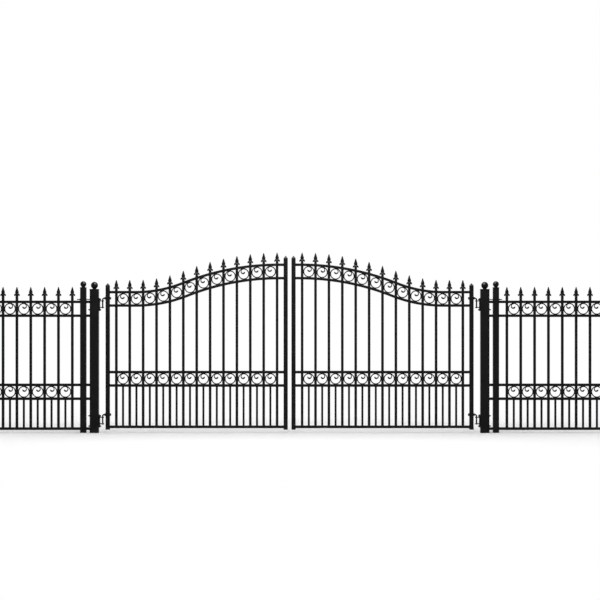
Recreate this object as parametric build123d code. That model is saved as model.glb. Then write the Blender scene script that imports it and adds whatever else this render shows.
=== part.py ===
"""Wrought iron driveway gate: two arched leaves on square posts, with a length of matching fence
on each side.

Everything is drawn on the right of the gate's centre line, where X is the distance out from that
line, and is then set on the right, or mirrored and set on the left. Y runs from the road to the
house and Z runs up from the ground. The finished gate has its origin at the middle of the left
gate post's foot.
"""
from build123d import *
from math import atan2, cos, pi, radians, sin, sqrt, tan
import os

# Leaves: places along the gate
leaf_gap = 39.0
end_bay = 92.0
picket_pitch = 143.3
pickets_per_leaf = 13
hinge_gap = 72.4

# Square tube and bar sections
post_size = 95.0
post_wall = 3.0
stile_size = 45.0
stile_wall = 2.5
picket_size = 28.0
short_picket_size = 22.0
rail_height = 28.0
end_plate = 4.0

# Gate posts, fence posts and their ball caps
gate_post_height = 1529.0
gate_cap_size = 100.0
gate_cap_thickness = 10.0
gate_ball_radius = 38.5
gate_collar_radius = 20.5
fence_post_size = 65.0
fence_post_rise = 20.0
fence_cap_size = 70.0
fence_cap_thickness = 8.0
fence_ball_radius = 33.0
fence_collar_radius = 18.5
cap_collar_height = 9.0
ball_foot_latitude = -60.0
ball_top_latitude = 80.0

# Leaves: heights above the ground, or below the gate post's top
bottom_rail_z = 64.0
mid_row_z = 578.0
shoulder_drop = 24.0
arch_rise = 293.0
crown_flat = 71.0
shoulder_flat = 280.1
crown_radius = 2800.0
stile_foot_z = 34.0
stile_rise = 70.0
stile_point = 26.0
stile_tip = 3.0
spear_reach = 130.0

# Fence
post_gap = 39.0
fence_end_bay = 117.7
fence_pitch = 148.2
pickets_per_fence = 8
fence_rail_drop = 128.0
fence_mid_rail_z = 513.0
fence_bottom_rail_z = 45.0
fence_spear_reach = 160.0

# Scroll rings: a ring, and a curl that leaves it at the top and hooks round inside it
ring_bar = 12.0
ring_depth = 14.0
curl_bar = 10.0
curl_end_bar = 17.0
curl_lap = 3.0
curl_lead = 18.0
curl_radius = 25.0
curl_sweep = 150.0
hook_radius = 14.0
hook_sweep = 140.0

# Spear heads
spear_height = 98.0
barb_drop = 10.0
barb_half_width = 28.5
barb_tip_height = 9.0
barb_thickness = 10.0
barb_root_z = 27.0
waist_z = 24.0
waist_half_width = 12.5
waist_half_depth = 6.0
blade_z = 39.0
blade_half_width = 18.5
blade_half_depth = 8.5
spear_tip = 1.0

# Hinges: a bolted plate with two lugs on the post, and a bent pin bolted through the stile
pin_stand_off = 40.5
pin_radius = 8.0
lower_bracket_z = 127.0
upper_bracket_drop = 157.0
bracket_height = 138.0
bracket_width = 44.0
bracket_thickness = 13.0
lug_radius = 16.0
lug_thickness = 10.0
upper_lug_offset = 39.0
lower_lug_offset = -30.0
pin_tail = 5.0
pin_arm_offset = 68.0
pin_bend_radius = 18.0
pin_nut_flats = 28.0
pin_nut_thickness = 12.0
pin_thread_end = 3.0
bolt_radius = 5.0
bolt_offset = 55.0
bolt_nut_flats = 17.0
bolt_nut_thickness = 10.0
bolt_thread_end = 9.0

# Clearances
punch_clearance = 0.3
ring_clearance = 0.3
hole_clearance = 0.3

# Number of flat sides that stand for a full circle, kept low on what repeats
ring_sides = 12
ball_sides = 12
ball_bands = 5
rod_sides = 8
nut_sides = 6
curl_facets = 3

# Places worked out from the sizes above
rail_depth = stile_size
meeting_stile_x = (leaf_gap + stile_size) / 2
first_picket_x = meeting_stile_x + end_bay
hinge_stile_x = first_picket_x + (pickets_per_leaf - 1) * picket_pitch + end_bay
post_face_x = hinge_stile_x + stile_size / 2 + hinge_gap
gate_post_x = post_face_x + post_size / 2
pin_x = post_face_x - pin_stand_off
fence_post_x = gate_post_x + post_size / 2 + post_gap + fence_post_size / 2
first_fence_picket_x = fence_post_x + fence_end_bay
end_post_x = first_fence_picket_x + (pickets_per_fence - 1) * fence_pitch + fence_end_bay
gate_centre_x = gate_post_x

fence_post_height = gate_post_height + fence_post_rise
fence_top_rail_z = gate_post_height - fence_rail_drop
shoulder_rail_z = gate_post_height - shoulder_drop
crown_rail_z = shoulder_rail_z + arch_rise
bracket_centres = (lower_bracket_z, gate_post_height - upper_bracket_drop)

crown_x = meeting_stile_x + crown_flat
shoulder_x = hinge_stile_x - stile_size / 2 - shoulder_flat
arch_run = shoulder_x - crown_x
arch_angle = 2 * atan2(arch_rise, arch_run)
shoulder_radius = arch_run / sin(arch_angle) - crown_radius

leaf_picket_places = [first_picket_x + i * picket_pitch for i in range(pickets_per_leaf)]
fence_picket_places = [first_fence_picket_x + i * fence_pitch for i in range(pickets_per_fence)]


def bays(places):
    """Middles of the bays between neighbouring pickets."""
    return [(a + b) / 2 for a, b in zip(places, places[1:])]


def arch_height(x, drop):
    """Height of the arch at x, on a line that runs parallel to the top rail, drop below it."""
    crown_r = crown_radius - drop
    shoulder_r = shoulder_radius + drop
    if x <= crown_x:
        return crown_rail_z - drop
    if x <= crown_x + crown_r * sin(arch_angle):
        return crown_rail_z - crown_radius + sqrt(crown_r**2 - (x - crown_x) ** 2)
    if x < shoulder_x:
        return shoulder_rail_z + shoulder_radius - sqrt(shoulder_r**2 - (x - shoulder_x) ** 2)
    return shoulder_rail_z - drop


def arch_edge(x_from, x_to, drop):
    """Edges of a line parallel to the top rail: flat crown, two tangent arcs, flat shoulder."""
    crown_r = crown_radius - drop
    shoulder_r = shoulder_radius + drop
    start = (x_from, crown_rail_z - drop)
    crown = (crown_x, crown_rail_z - drop)
    half = arch_angle / 2
    crown_middle = (crown_x + crown_r * sin(half), crown[1] - crown_r * (1 - cos(half)))
    turn = (crown_x + crown_r * sin(arch_angle), crown[1] - crown_r * (1 - cos(arch_angle)))
    shoulder = (shoulder_x, shoulder_rail_z - drop)
    shoulder_middle = (
        shoulder_x - shoulder_r * sin(half),
        shoulder[1] + shoulder_r * (1 - cos(half)),
    )
    end = (x_to, shoulder_rail_z - drop)
    return [
        Line(start, crown),
        ThreePointArc(crown, crown_middle, turn),
        ThreePointArc(turn, shoulder_middle, shoulder),
        Line(shoulder, end),
    ]


def box(x_from, x_to, depth, z_from, z_to):
    """A bar between two places and two heights, centred on the fence line."""
    middle = Pos((x_from + x_to) / 2, 0, (z_from + z_to) / 2)
    return middle * Box(x_to - x_from, depth, z_to - z_from)


def upright(x, size, z_from, z_to):
    """A square bar standing at x."""
    return box(x - size / 2, x + size / 2, size, z_from, z_to)


def rectangle_at(half_width, half_depth, z):
    """Corners of a rectangle in plan, centred on the Z axis at one height."""
    return [
        (half_width, half_depth, z),
        (-half_width, half_depth, z),
        (-half_width, -half_depth, z),
        (half_width, -half_depth, z),
    ]


def stacked(sections):
    """A solid with flat sides through a stack of outlines that have as many corners each."""
    outlines = [sections[0], sections[-1]]
    for low, high in zip(sections, sections[1:]):
        count = len(low)
        for i in range(count):
            after = (i + 1) % count
            outlines.append([low[i], low[after], high[after], high[i]])
    return Solid(Shell([Face(Wire.make_polygon(outline)) for outline in outlines]))


def many_sided(radius, sides, around):
    """A regular outline with flats towards the axes, just inside its circle or just around it."""
    return RegularPolygon(radius, sides, major_radius=not around, rotation=180 / sides)


def round_bar(radius, length):
    """A round bar along Z, with few sides that stay inside its circle."""
    return extrude(many_sided(radius, rod_sides, False), length / 2, both=True)


def round_hole(radius, length):
    """What a drill along Z takes out, with few sides that stay outside its circle."""
    return extrude(many_sided(radius, rod_sides, True), length / 2, both=True)


def along_x(shape, x_from, x_to, z):
    """A shape drawn about the Z axis, laid along the fence line between two places."""
    return Pos((x_from + x_to) / 2, 0, z) * Rot(0, 90, 0) * shape


def hexagon(x_from, z, flats, thickness):
    """A bolt's head, or a nut before it is bored, from x_from outwards."""
    corner_radius = flats / 2 / cos(pi / nut_sides)
    blank = extrude(RegularPolygon(corner_radius, nut_sides), thickness / 2, both=True)
    return along_x(blank, x_from, x_from + thickness, z)


def nut(x_from, z, flats, thickness, rod_radius):
    """A nut that sits on a rod, from x_from outwards."""
    bore = round_hole(rod_radius + hole_clearance, 2 * thickness)
    return hexagon(x_from, z, flats, thickness) - along_x(bore, x_from, x_from + thickness, z)


def punched(rail, places):
    """A rail with a square hole at each place, for a picket to pass through."""
    side = picket_size + 2 * punch_clearance
    punch = Box(side, side, 2 * crown_rail_z)
    return rail - [Pos(x, 0, crown_rail_z) * punch for x in places]


def straight_rail(x_from, x_to, z, places=()):
    """A level rail between two faces, punched where places are given."""
    rail = box(x_from, x_to, rail_depth, z - rail_height / 2, z + rail_height / 2)
    return punched(rail, places) if places else rail


def arch_rail(drop):
    """One of the two arched rails: a parallel band, punched for every picket of the leaf."""
    x_from = meeting_stile_x + stile_size / 2
    x_to = hinge_stile_x - stile_size / 2
    top = arch_edge(x_from, x_to, drop - rail_height / 2)
    bottom = arch_edge(x_from, x_to, drop + rail_height / 2)
    ends = [Line(top[0] @ 0, bottom[0] @ 0), Line(top[-1] @ 1, bottom[-1] @ 1)]
    band = Plane.XZ * make_face(top + bottom + ends)
    return punched(extrude(band, rail_depth / 2, both=True), leaf_picket_places)


def curl_outline(inner_radius):
    """Outline of the curl: along under the ring's top, down one side, and round into a hook.

    Its bar keeps its width down the side and then spreads towards the hook's end.
    """
    top = inner_radius - curl_bar / 2 + curl_lap
    curl_centre = Vector(0, top - curl_radius)
    turn_angle = 90 - curl_sweep
    inward = curl_radius - hook_radius
    turn = Vector(cos(radians(turn_angle)), sin(radians(turn_angle)))
    hook_centre = curl_centre + turn * inward
    left_edge = [Vector(-curl_lead, top + curl_bar / 2)]
    right_edge = [Vector(-curl_lead, top - curl_bar / 2)]
    for i in range(2 * curl_facets + 1):
        on_hook = max(i - curl_facets, 0) / curl_facets
        on_curl = min(i, curl_facets) / curl_facets
        angle = radians(90 - on_curl * curl_sweep - on_hook * hook_sweep)
        centre, radius = (hook_centre, hook_radius) if on_hook else (curl_centre, curl_radius)
        half_bar = (curl_bar + on_hook * (curl_end_bar - curl_bar)) / 2
        out = Vector(cos(angle), sin(angle))
        left_edge.append(centre + out * (radius + half_bar))
        right_edge.append(centre + out * (radius - half_bar))
    corners = left_edge + right_edge[::-1]
    return Polygon(*[(corner.X, corner.Y) for corner in corners], align=None)


def scroll_ring(cell, curl_side):
    """A ring that fills a square cell, with a curl that hooks round inside it.

    The ring has a corner towards each side of its cell, so that it also fits between sloping
    rails. The curl runs down the side that curl_side gives, 1 for the outer and -1 for the inner.
    """
    outer = cell / 2 - ring_clearance
    inner = outer - ring_bar
    ring = RegularPolygon(outer, ring_sides) - RegularPolygon(inner, ring_sides)
    scroll = Plane.XZ * (ring + curl_outline(inner))
    solid = extrude(scroll, ring_depth / 2, both=True).solid()
    return solid if curl_side > 0 else solid.mirror(Plane.YZ)


def spear():
    """A cast spear head: flat sided blade, waist and foot, and two barbs swept down past the
    picket."""
    half = picket_size / 2
    blade = stacked(
        [
            rectangle_at(half, half, 0),
            rectangle_at(waist_half_width, waist_half_depth, waist_z),
            rectangle_at(blade_half_width, blade_half_depth, blade_z),
            rectangle_at(spear_tip, spear_tip, spear_height - barb_drop),
        ]
    )
    armpit = half + punch_clearance
    barb_outline = [
        (-barb_half_width, -barb_drop),
        (-armpit, 0),
        (armpit, 0),
        (barb_half_width, -barb_drop),
        (barb_half_width, barb_tip_height - barb_drop),
        (waist_half_width, barb_root_z),
        (-waist_half_width, barb_root_z),
        (-barb_half_width, barb_tip_height - barb_drop),
    ]
    barbs = extrude(Plane.XZ * Polygon(*barb_outline, align=None), barb_thickness / 2, both=True)
    return (blade + barbs).solid()


def stile(x, shoulder_z, holes=()):
    """A square tube with closed ends and a pointed top, drilled where rods pass through."""
    half = stile_size / 2
    tip = stile_tip / 2
    outside = stacked(
        [
            rectangle_at(half, half, stile_foot_z),
            rectangle_at(half, half, shoulder_z),
            rectangle_at(tip, tip, shoulder_z + stile_point),
        ]
    )
    inner = stile_size - 2 * stile_wall
    body = Pos(x, 0, 0) * outside
    body -= upright(x, inner, stile_foot_z + end_plate, shoulder_z - end_plate)
    drill = round_hole(pin_radius + hole_clearance, 2 * stile_size)
    for z in holes:
        body -= along_x(drill, x, x, z)
    return body.solid()


def post(x, size, height, holes=()):
    """A square tube with a closed foot, open under its cap, drilled where bolts pass through."""
    body = upright(x, size, 0, height)
    body -= upright(x, size - 2 * post_wall, end_plate, height + end_plate)
    drill = round_hole(bolt_radius + hole_clearance, 2 * size)
    for z in holes:
        body -= along_x(drill, x, x, z)
    return body.solid()


def ball(radius):
    """A ball that stands on the origin, in bands of flat sides, cut off inside its collar."""
    sections = []
    for i in range(ball_bands + 1):
        share = i / ball_bands
        latitude = radians(ball_foot_latitude + share * (ball_top_latitude - ball_foot_latitude))
        around = [2 * pi * k / ball_sides for k in range(ball_sides)]
        reach = radius * cos(latitude)
        z = radius * (1 + sin(latitude))
        sections.append([(reach * cos(a), reach * sin(a), z) for a in around])
    return stacked(sections)


def ball_cap(x, z, plate_size, plate_thickness, ball_radius, collar_radius):
    """A flat cap plate with a ball standing on it in a short collar."""
    plate = upright(x, plate_size, z, z + plate_thickness)
    top = Pos(x, 0, z + plate_thickness)
    collar = extrude(many_sided(collar_radius, ball_sides, True), cap_collar_height)
    return (plate + top * collar + top * ball(ball_radius)).solid()


def hinge_bracket(z):
    """A plate bolted to the post, with two lugs that hold the pin."""
    plate_face_x = post_face_x - bracket_thickness
    bottom = z - bracket_height / 2
    body = box(plate_face_x, post_face_x, bracket_width, bottom, bottom + bracket_height)
    lug_end = extrude(many_sided(lug_radius, rod_sides, True), lug_thickness / 2, both=True)
    for offset in (lower_lug_offset, upper_lug_offset):
        lug_z = z + offset
        low = lug_z - lug_thickness / 2
        body += box(pin_x, plate_face_x, 2 * lug_radius, low, low + lug_thickness)
        body += Pos(pin_x, 0, lug_z) * lug_end
    body -= Pos(pin_x, 0, z) * round_hole(pin_radius + hole_clearance, bracket_height)
    drill = round_hole(bolt_radius + hole_clearance, 2 * bracket_thickness)
    for offset in (-bolt_offset, bolt_offset):
        body -= along_x(drill, plate_face_x, post_face_x, z + offset)
    return body.solid()


def hinge_pin(z):
    """A round bar that stands in both lugs, bends over the upper one and runs through the stile,
    with a nut on each side of the stile."""
    arm_z = z + pin_arm_offset
    tail_z = z + lower_lug_offset - lug_thickness / 2 - pin_tail
    inner_face_x = hinge_stile_x - stile_size / 2
    outer_face_x = hinge_stile_x + stile_size / 2
    arm_end_x = inner_face_x - pin_nut_thickness - pin_thread_end
    cut = pin_bend_radius * (1 - tan(pi / 8))
    path = Polyline(
        (pin_x, 0, tail_z), (pin_x, 0, arm_z - cut), (pin_x - cut, 0, arm_z), (arm_end_x, 0, arm_z)
    )
    section = Plane(path @ 0, z_dir=path % 0) * many_sided(pin_radius, rod_sides, False)
    rod = sweep(section, path, transition=Transition.RIGHT)
    places = (inner_face_x - pin_nut_thickness, outer_face_x)
    nuts = [nut(x, arm_z, pin_nut_flats, pin_nut_thickness, pin_radius) for x in places]
    return [solid.solid() for solid in [rod] + nuts]


def through_bolt(z, far_face_x):
    """A bolt from the bracket plate to a far face of a post, with its head and its nut."""
    head_x = post_face_x - bracket_thickness - bolt_nut_thickness
    end_x = far_face_x + bolt_nut_thickness + bolt_thread_end
    bolt = along_x(round_bar(bolt_radius, end_x - head_x), head_x, end_x, z)
    bolt += hexagon(head_x, z, bolt_nut_flats, bolt_nut_thickness)
    far_nut = nut(far_face_x, z, bolt_nut_flats, bolt_nut_thickness, bolt_radius)
    return [bolt.solid(), far_nut.solid()]


def set_in(solid, places):
    """Copies of one solid at a list of (x, z) places."""
    return [Pos(x, 0, z) * solid for x, z in places]


def leaf():
    """Every node of one leaf, drawn on the right of the centre line."""
    double_drop = picket_pitch
    mid_upper_z = mid_row_z + picket_pitch / 2
    mid_lower_z = mid_row_z - picket_pitch / 2
    floor_z = bottom_rail_z + rail_height / 2
    x_from = meeting_stile_x + stile_size / 2
    x_to = hinge_stile_x - stile_size / 2
    places = leaf_picket_places
    picket_rise = spear_reach - spear_height + barb_drop
    tops = [(x, arch_height(x, 0) + picket_rise) for x in places]
    ring = scroll_ring(picket_pitch - max(picket_size, rail_height), 1)
    arms = [z + pin_arm_offset for z in bracket_centres]
    return {
        "hinge_stile": [stile(hinge_stile_x, shoulder_rail_z + stile_rise, arms)],
        "meeting_stile": [stile(meeting_stile_x, crown_rail_z + stile_rise)],
        "arch_rails": [arch_rail(0).solid(), arch_rail(double_drop).solid()],
        "mid_rails": [
            straight_rail(x_from, x_to, mid_upper_z, places).solid(),
            straight_rail(x_from, x_to, mid_lower_z, places).solid(),
        ],
        "bottom_rail": [straight_rail(x_from, x_to, bottom_rail_z)],
        "pickets": [upright(x, picket_size, floor_z, z) for x, z in tops],
        "short_pickets": [
            upright(x, short_picket_size, floor_z, mid_lower_z - rail_height / 2)
            for x in bays(places)
        ],
        "arch_rings": set_in(ring, [(x, arch_height(x, double_drop / 2)) for x in bays(places)]),
        "mid_rings": set_in(ring, [(x, mid_row_z) for x in bays(places)]),
        "spears": set_in(spear(), tops),
        "hinge_pins": [solid for z in bracket_centres for solid in hinge_pin(z)],
    }


def post_and_fence():
    """The gate post, the hinge plates and the length of fence on one side, without the caps."""
    top_lower_z = fence_top_rail_z - fence_pitch
    mid_lower_z = fence_mid_rail_z - fence_pitch
    punched_levels = (fence_top_rail_z, top_lower_z, fence_mid_rail_z, mid_lower_z)
    floor_z = fence_bottom_rail_z + rail_height / 2
    places = fence_picket_places
    rail_from = fence_post_x + fence_post_size / 2
    rail_to = end_post_x - fence_post_size / 2
    link_from = gate_post_x + post_size / 2
    link_to = fence_post_x - fence_post_size / 2
    rails = [straight_rail(rail_from, rail_to, z, places).solid() for z in punched_levels]
    rails.append(straight_rail(rail_from, rail_to, fence_bottom_rail_z))
    link_levels = punched_levels + (fence_bottom_rail_z,)
    links = [straight_rail(link_from, link_to, z) for z in link_levels]
    picket_top = fence_top_rail_z + fence_spear_reach - spear_height + barb_drop
    tops = [(x, picket_top) for x in places]
    ring = scroll_ring(fence_pitch - max(picket_size, rail_height), -1)
    ring_rows = (fence_top_rail_z - fence_pitch / 2, fence_mid_rail_z - fence_pitch / 2)
    bolt_levels = [z + side * bolt_offset for z in bracket_centres for side in (-1, 1)]
    tie_z = max(bolt_levels)
    bolts = []
    for z in bolt_levels:
        far_face_x = fence_post_x + fence_post_size / 2 if z == tie_z else link_from
        bolts += through_bolt(z, far_face_x)
    return {
        "gate_post": [post(gate_post_x, post_size, gate_post_height, bolt_levels)],
        "fence_post": [post(fence_post_x, fence_post_size, fence_post_height, [tie_z])],
        "end_post": [post(end_post_x, fence_post_size, fence_post_height)],
        "hinge_brackets": [hinge_bracket(z) for z in bracket_centres],
        "bracket_bolts": bolts,
        "fence_rails": rails + links,
        "fence_pickets": [upright(x, picket_size, floor_z, z) for x, z in tops],
        "fence_short_pickets": [
            upright(x, short_picket_size, floor_z, mid_lower_z - rail_height / 2)
            for x in bays(places)
        ],
        "fence_rings": set_in(ring, [(x, z) for z in ring_rows for x in bays(places)]),
        "fence_spears": set_in(spear(), tops),
    }


def caps():
    """The ball caps of the gate posts and of the fence posts, on the right side."""
    gate_cap = (gate_cap_size, gate_cap_thickness, gate_ball_radius, gate_collar_radius)
    fence_cap = (fence_cap_size, fence_cap_thickness, fence_ball_radius, fence_collar_radius)
    return {
        "gate_post_caps": [ball_cap(gate_post_x, gate_post_height, *gate_cap)],
        "fence_post_caps": [
            ball_cap(x, fence_post_height, *fence_cap) for x in (fence_post_x, end_post_x)
        ],
    }


def placed(solids, side):
    """Solids of the right side set on one side of the gate, in the finished gate's frame."""
    if side == "left":
        solids = [solid.mirror(Plane.YZ) for solid in solids]
    return [Pos(gate_centre_x, 0, 0) * solid for solid in solids]


def save(node, solids):
    """Write one node."""
    export_step(Compound(children=list(solids)), f"parts/{node}.step")


def build():
    """Build the gate and write a file for each node."""
    os.makedirs("parts", exist_ok=True)
    leaf_nodes = leaf()
    fixed_nodes = post_and_fence()
    for side in ("left", "right"):
        for name, solids in leaf_nodes.items():
            save(f"{side}_{name}", placed(solids, side))
        for name, solids in fixed_nodes.items():
            save(f"{side}_{name}", placed(solids, side))
    for name, solids in caps().items():
        save(name, placed(solids, "left") + placed(solids, "right"))


build()
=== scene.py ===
"""Wrought iron driveway gate: the fine shapes and the black powder coat of every piece.

Two arched leaves hang on square posts with ball caps, with a length of matching fence on each
side. Places along the gate are distances out from its centre line, so that one description
serves the left and the right side. Sizes are in metres.
"""

import logging
from collections.abc import Iterable, Mapping, Sequence
from dataclasses import dataclass
from enum import Enum
from math import atan2, cos, degrees, pi, radians, sin, sqrt
from typing import NamedTuple

import bmesh
import bpy
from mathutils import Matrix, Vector


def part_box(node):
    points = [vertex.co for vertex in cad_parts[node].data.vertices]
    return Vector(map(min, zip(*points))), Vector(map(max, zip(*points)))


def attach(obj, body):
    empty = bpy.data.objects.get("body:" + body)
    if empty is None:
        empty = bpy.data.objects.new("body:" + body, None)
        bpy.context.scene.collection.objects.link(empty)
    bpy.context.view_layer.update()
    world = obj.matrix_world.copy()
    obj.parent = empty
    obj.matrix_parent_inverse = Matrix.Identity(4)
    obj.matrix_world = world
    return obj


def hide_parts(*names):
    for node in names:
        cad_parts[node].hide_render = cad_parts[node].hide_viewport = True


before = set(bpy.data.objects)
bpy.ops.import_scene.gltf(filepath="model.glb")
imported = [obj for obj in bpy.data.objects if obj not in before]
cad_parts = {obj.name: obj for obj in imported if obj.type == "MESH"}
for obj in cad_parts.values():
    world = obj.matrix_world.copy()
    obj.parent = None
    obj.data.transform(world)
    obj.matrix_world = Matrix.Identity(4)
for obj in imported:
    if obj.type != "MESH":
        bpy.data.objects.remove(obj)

log = logging.getLogger("driveway_gate")

MM = 0.001
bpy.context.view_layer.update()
POSTS = "posts_and_fence"
PHOTO_SIDE = 600
WHITE = (1.0, 1.0, 1.0, 1.0)
CORNERS = ((1, 1), (-1, 1), (-1, -1), (1, -1))


class Side(Enum):
    """The two sides of the gate. The value is the direction that leads outwards along X."""

    LEFT = -1
    RIGHT = 1

    @property
    def word(self) -> str:
        """The side's name, as the nodes have it."""
        return self.name.lower()


class Slot(Enum):
    """The record's material slots."""

    TUBE = "post_and_stile_tube"
    RAIL = "rail_bar"
    PICKET = "picket_bar"
    SCROLL = "scroll_bar"
    SPEAR = "spear_casting"
    HINGE = "hinge_steel"
    CAP = "cap_casting"


Materials = Mapping[Slot, bpy.types.Material]


# Node trees


class Wire:
    """An output of a node that Python sums and products can be written with."""

    def __init__(self, maker: "NodeMaker", socket: bpy.types.NodeSocket) -> None:
        """Keep a socket.

        Args:
            maker: The tree that further nodes go into.
            socket: The output that this stands for.
        """
        self.maker = maker
        self.socket = socket

    def other(self, name: str) -> "Wire":
        """Another output of the same node."""
        return Wire(self.maker, self.socket.node.outputs[name])

    def maths(self, operation: str, *terms: "Wire | float", clamp: bool = False) -> "Wire":
        """Add one Math node.

        Args:
            operation: Blender's name of the operation.
            terms: Its values, in order.
            clamp: Whether the result is held between 0 and 1.

        Returns:
            The node's result.
        """
        settings = {"operation": operation, "use_clamp": clamp}
        return self.maker.node("ShaderNodeMath", settings, dict(enumerate(terms)))

    def __add__(self, other: "Wire | float") -> "Wire":
        """self + other."""
        return self.maths("ADD", self, other)

    __radd__ = __add__

    def __sub__(self, other: "Wire | float") -> "Wire":
        """self - other."""
        return self.maths("SUBTRACT", self, other)

    def __rsub__(self, other: "Wire | float") -> "Wire":
        """other - self."""
        return self.maths("SUBTRACT", other, self)

    def __mul__(self, other: "Wire | float") -> "Wire":
        """self * other."""
        return self.maths("MULTIPLY", self, other)

    __rmul__ = __mul__

    def clamped(self) -> "Wire":
        """The value held between 0 and 1."""
        return self.maths("ADD", self, 0.0, clamp=True)

    def rise(self, low: float, high: float) -> "Wire":
        """A smooth step from 0 to 1.

        Args:
            low: The value where the result is 0.
            high: The value where it is 1, which may be the lower of the two.

        Returns:
            The result.
        """
        return self.maker.node(
            "ShaderNodeMapRange",
            {"interpolation_type": "SMOOTHSTEP"},
            {"Value": self, "From Min": low, "From Max": high},
        )


class NodeMaker:
    """Adds nodes to one tree."""

    def __init__(self, tree: bpy.types.NodeTree) -> None:
        """Keep the tree that nodes are added to."""
        self.tree = tree

    def node(
        self,
        kind: str,
        settings: Mapping[str, object],
        inputs: Mapping[str | int, object],
        output: str | int = 0,
    ) -> Wire:
        """Add one node.

        Args:
            kind: Blender's type name of the node.
            settings: Its properties, which are set first.
            inputs: A value or a wire for each input, by name or place.
            output: The output that is returned, by name or place.

        Returns:
            That output, or the first input of a node that has none.
        """
        made = self.tree.nodes.new(kind)
        for name, value in settings.items():
            setattr(made, name, value)
        for name, value in inputs.items():
            if isinstance(value, Wire):
                self.tree.links.new(value.socket, made.inputs[name])
            else:
                made.inputs[name].default_value = value
        sockets = made.outputs if len(made.outputs) else made.inputs
        return Wire(self, sockets[output])


def fresh_nodes(owner: bpy.types.Material | bpy.types.World) -> NodeMaker:
    """Give a material or a world an empty node tree.

    Args:
        owner: The material or the world.

    Returns:
        What adds nodes to its tree.
    """
    owner.use_nodes = True
    owner.node_tree.nodes.clear()
    return NodeMaker(owner.node_tree)


def placed(name: str, data: bpy.types.ID) -> bpy.types.Object:
    """Put something into the scene, at the origin.

    Args:
        name: The object's name.
        data: Its mesh, lamp or camera.

    Returns:
        The object.
    """
    thing = bpy.data.objects.new(name, data)
    bpy.context.scene.collection.objects.link(thing)
    return thing


def evaluated_mesh(worker: bpy.types.Object) -> bpy.types.Mesh:
    """The mesh of an object after its modifiers.

    Args:
        worker: The object.

    Returns:
        A mesh of its own.
    """
    graph = bpy.context.evaluated_depsgraph_get()
    found = worker.evaluated_get(graph)
    return bpy.data.meshes.new_from_object(found, preserve_all_data_layers=True, depsgraph=graph)


class GeometryTree(NodeMaker):
    """A Geometry Nodes tree with named inputs, which makes plain meshes."""

    def __init__(self, name: str, materials: Materials) -> None:
        """Start an empty tree that takes a mesh and a material.

        Args:
            name: The tree's name.
            materials: The materials that its meshes can have.
        """
        super().__init__(bpy.data.node_groups.new(name, "GeometryNodeTree"))
        self.materials = materials
        self.identifiers: dict[str, str] = {}
        self.entry = self.tree.nodes.new("NodeGroupInput")
        self.base = self.named_input("Base", "NodeSocketGeometry")
        self.material = self.named_input("Material", "NodeSocketMaterial")

    def named_input(self, name: str, kind: str) -> Wire:
        """Give the tree one more input.

        Args:
            name: The input's name.
            kind: The type of its socket.

        Returns:
            The value inside the tree.
        """
        made = self.tree.interface.new_socket(name=name, in_out="INPUT", socket_type=kind)
        self.identifiers[name] = made.identifier
        return Wire(self, self.entry.outputs[name])

    def close(self, geometry: Wire) -> None:
        """End the tree: real meshes only, with the tree's material.

        Args:
            geometry: What the tree has made.
        """
        real = self.node("GeometryNodeRealizeInstances", {}, {"Geometry": geometry})
        inputs = {"Geometry": real, "Material": self.material}
        dressed = self.node("GeometryNodeSetMaterial", {}, inputs)
        kind = "NodeSocketGeometry"
        self.tree.interface.new_socket(name="Mesh", in_out="OUTPUT", socket_type=kind)
        leave = self.tree.nodes.new("NodeGroupOutput")
        self.tree.links.new(dressed.socket, leave.inputs[0])

    def make(
        self, base: bpy.types.Mesh, slot: Slot, inputs: Mapping[str, object]
    ) -> bpy.types.Mesh:
        """Run the tree on a mesh.

        Args:
            base: The lines or points that the tree works on. It is used up.
            slot: The slot whose material the result gets.
            inputs: The tree's sizes, by name.

        Returns:
            A plain mesh.
        """
        worker = placed("worker", base)
        modifier = worker.modifiers.new("nodes", "NODES")
        modifier.node_group = self.tree
        modifier[self.identifiers["Material"]] = self.materials[slot]
        for name, value in inputs.items():
            modifier[self.identifiers[name]] = value
        made = evaluated_mesh(worker)
        bpy.data.objects.remove(worker)
        bpy.data.meshes.remove(base)
        return made


# Lines, sections and solids


@dataclass(frozen=True)
class Line:
    """A line for a bar or a bead to follow.

    Attributes:
        points: Its points, in order.
        closed: Whether the last point joins the first.
        swell: The section's size at each point, as a share of its full size.
    """

    points: Sequence[Vector]
    closed: bool = False
    swell: Sequence[float] | None = None


@dataclass(frozen=True)
class Section:
    """A bar's section.

    Attributes:
        thickness: Across the bar, in the plane of the gate.
        depth: Along Y.
        corner: Radius of its rounded edges.
        steps: Flats that make each rounded edge.
    """

    thickness: float
    depth: float
    corner: float
    steps: int = 2


def line_mesh(lines: Iterable[Line]) -> bpy.types.Mesh:
    """Edges along each line, with the section's size as a point attribute.

    Args:
        lines: The lines.

    Returns:
        A mesh with vertices and edges only.
    """
    points: list[Vector] = []
    edges: list[tuple[int, int]] = []
    swell: list[float] = []
    for line in lines:
        first = len(points)
        points.extend(line.points)
        swell.extend(line.swell or [1.0] * len(line.points))
        last = len(points) - 1
        edges.extend((i, i + 1) for i in range(first, last))
        if line.closed:
            edges.append((last, first))
    mesh = bpy.data.meshes.new("lines")
    mesh.from_pydata(points, edges, [])
    mesh.attributes.new("swell", "FLOAT", "POINT").data.foreach_set("value", swell)
    return mesh


def point_mesh(points: Iterable[Vector]) -> bpy.types.Mesh:
    """A mesh of single points.

    Args:
        points: The points.

    Returns:
        A mesh with vertices only.
    """
    mesh = bpy.data.meshes.new("points")
    mesh.from_pydata(list(points), [], [])
    return mesh


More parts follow.
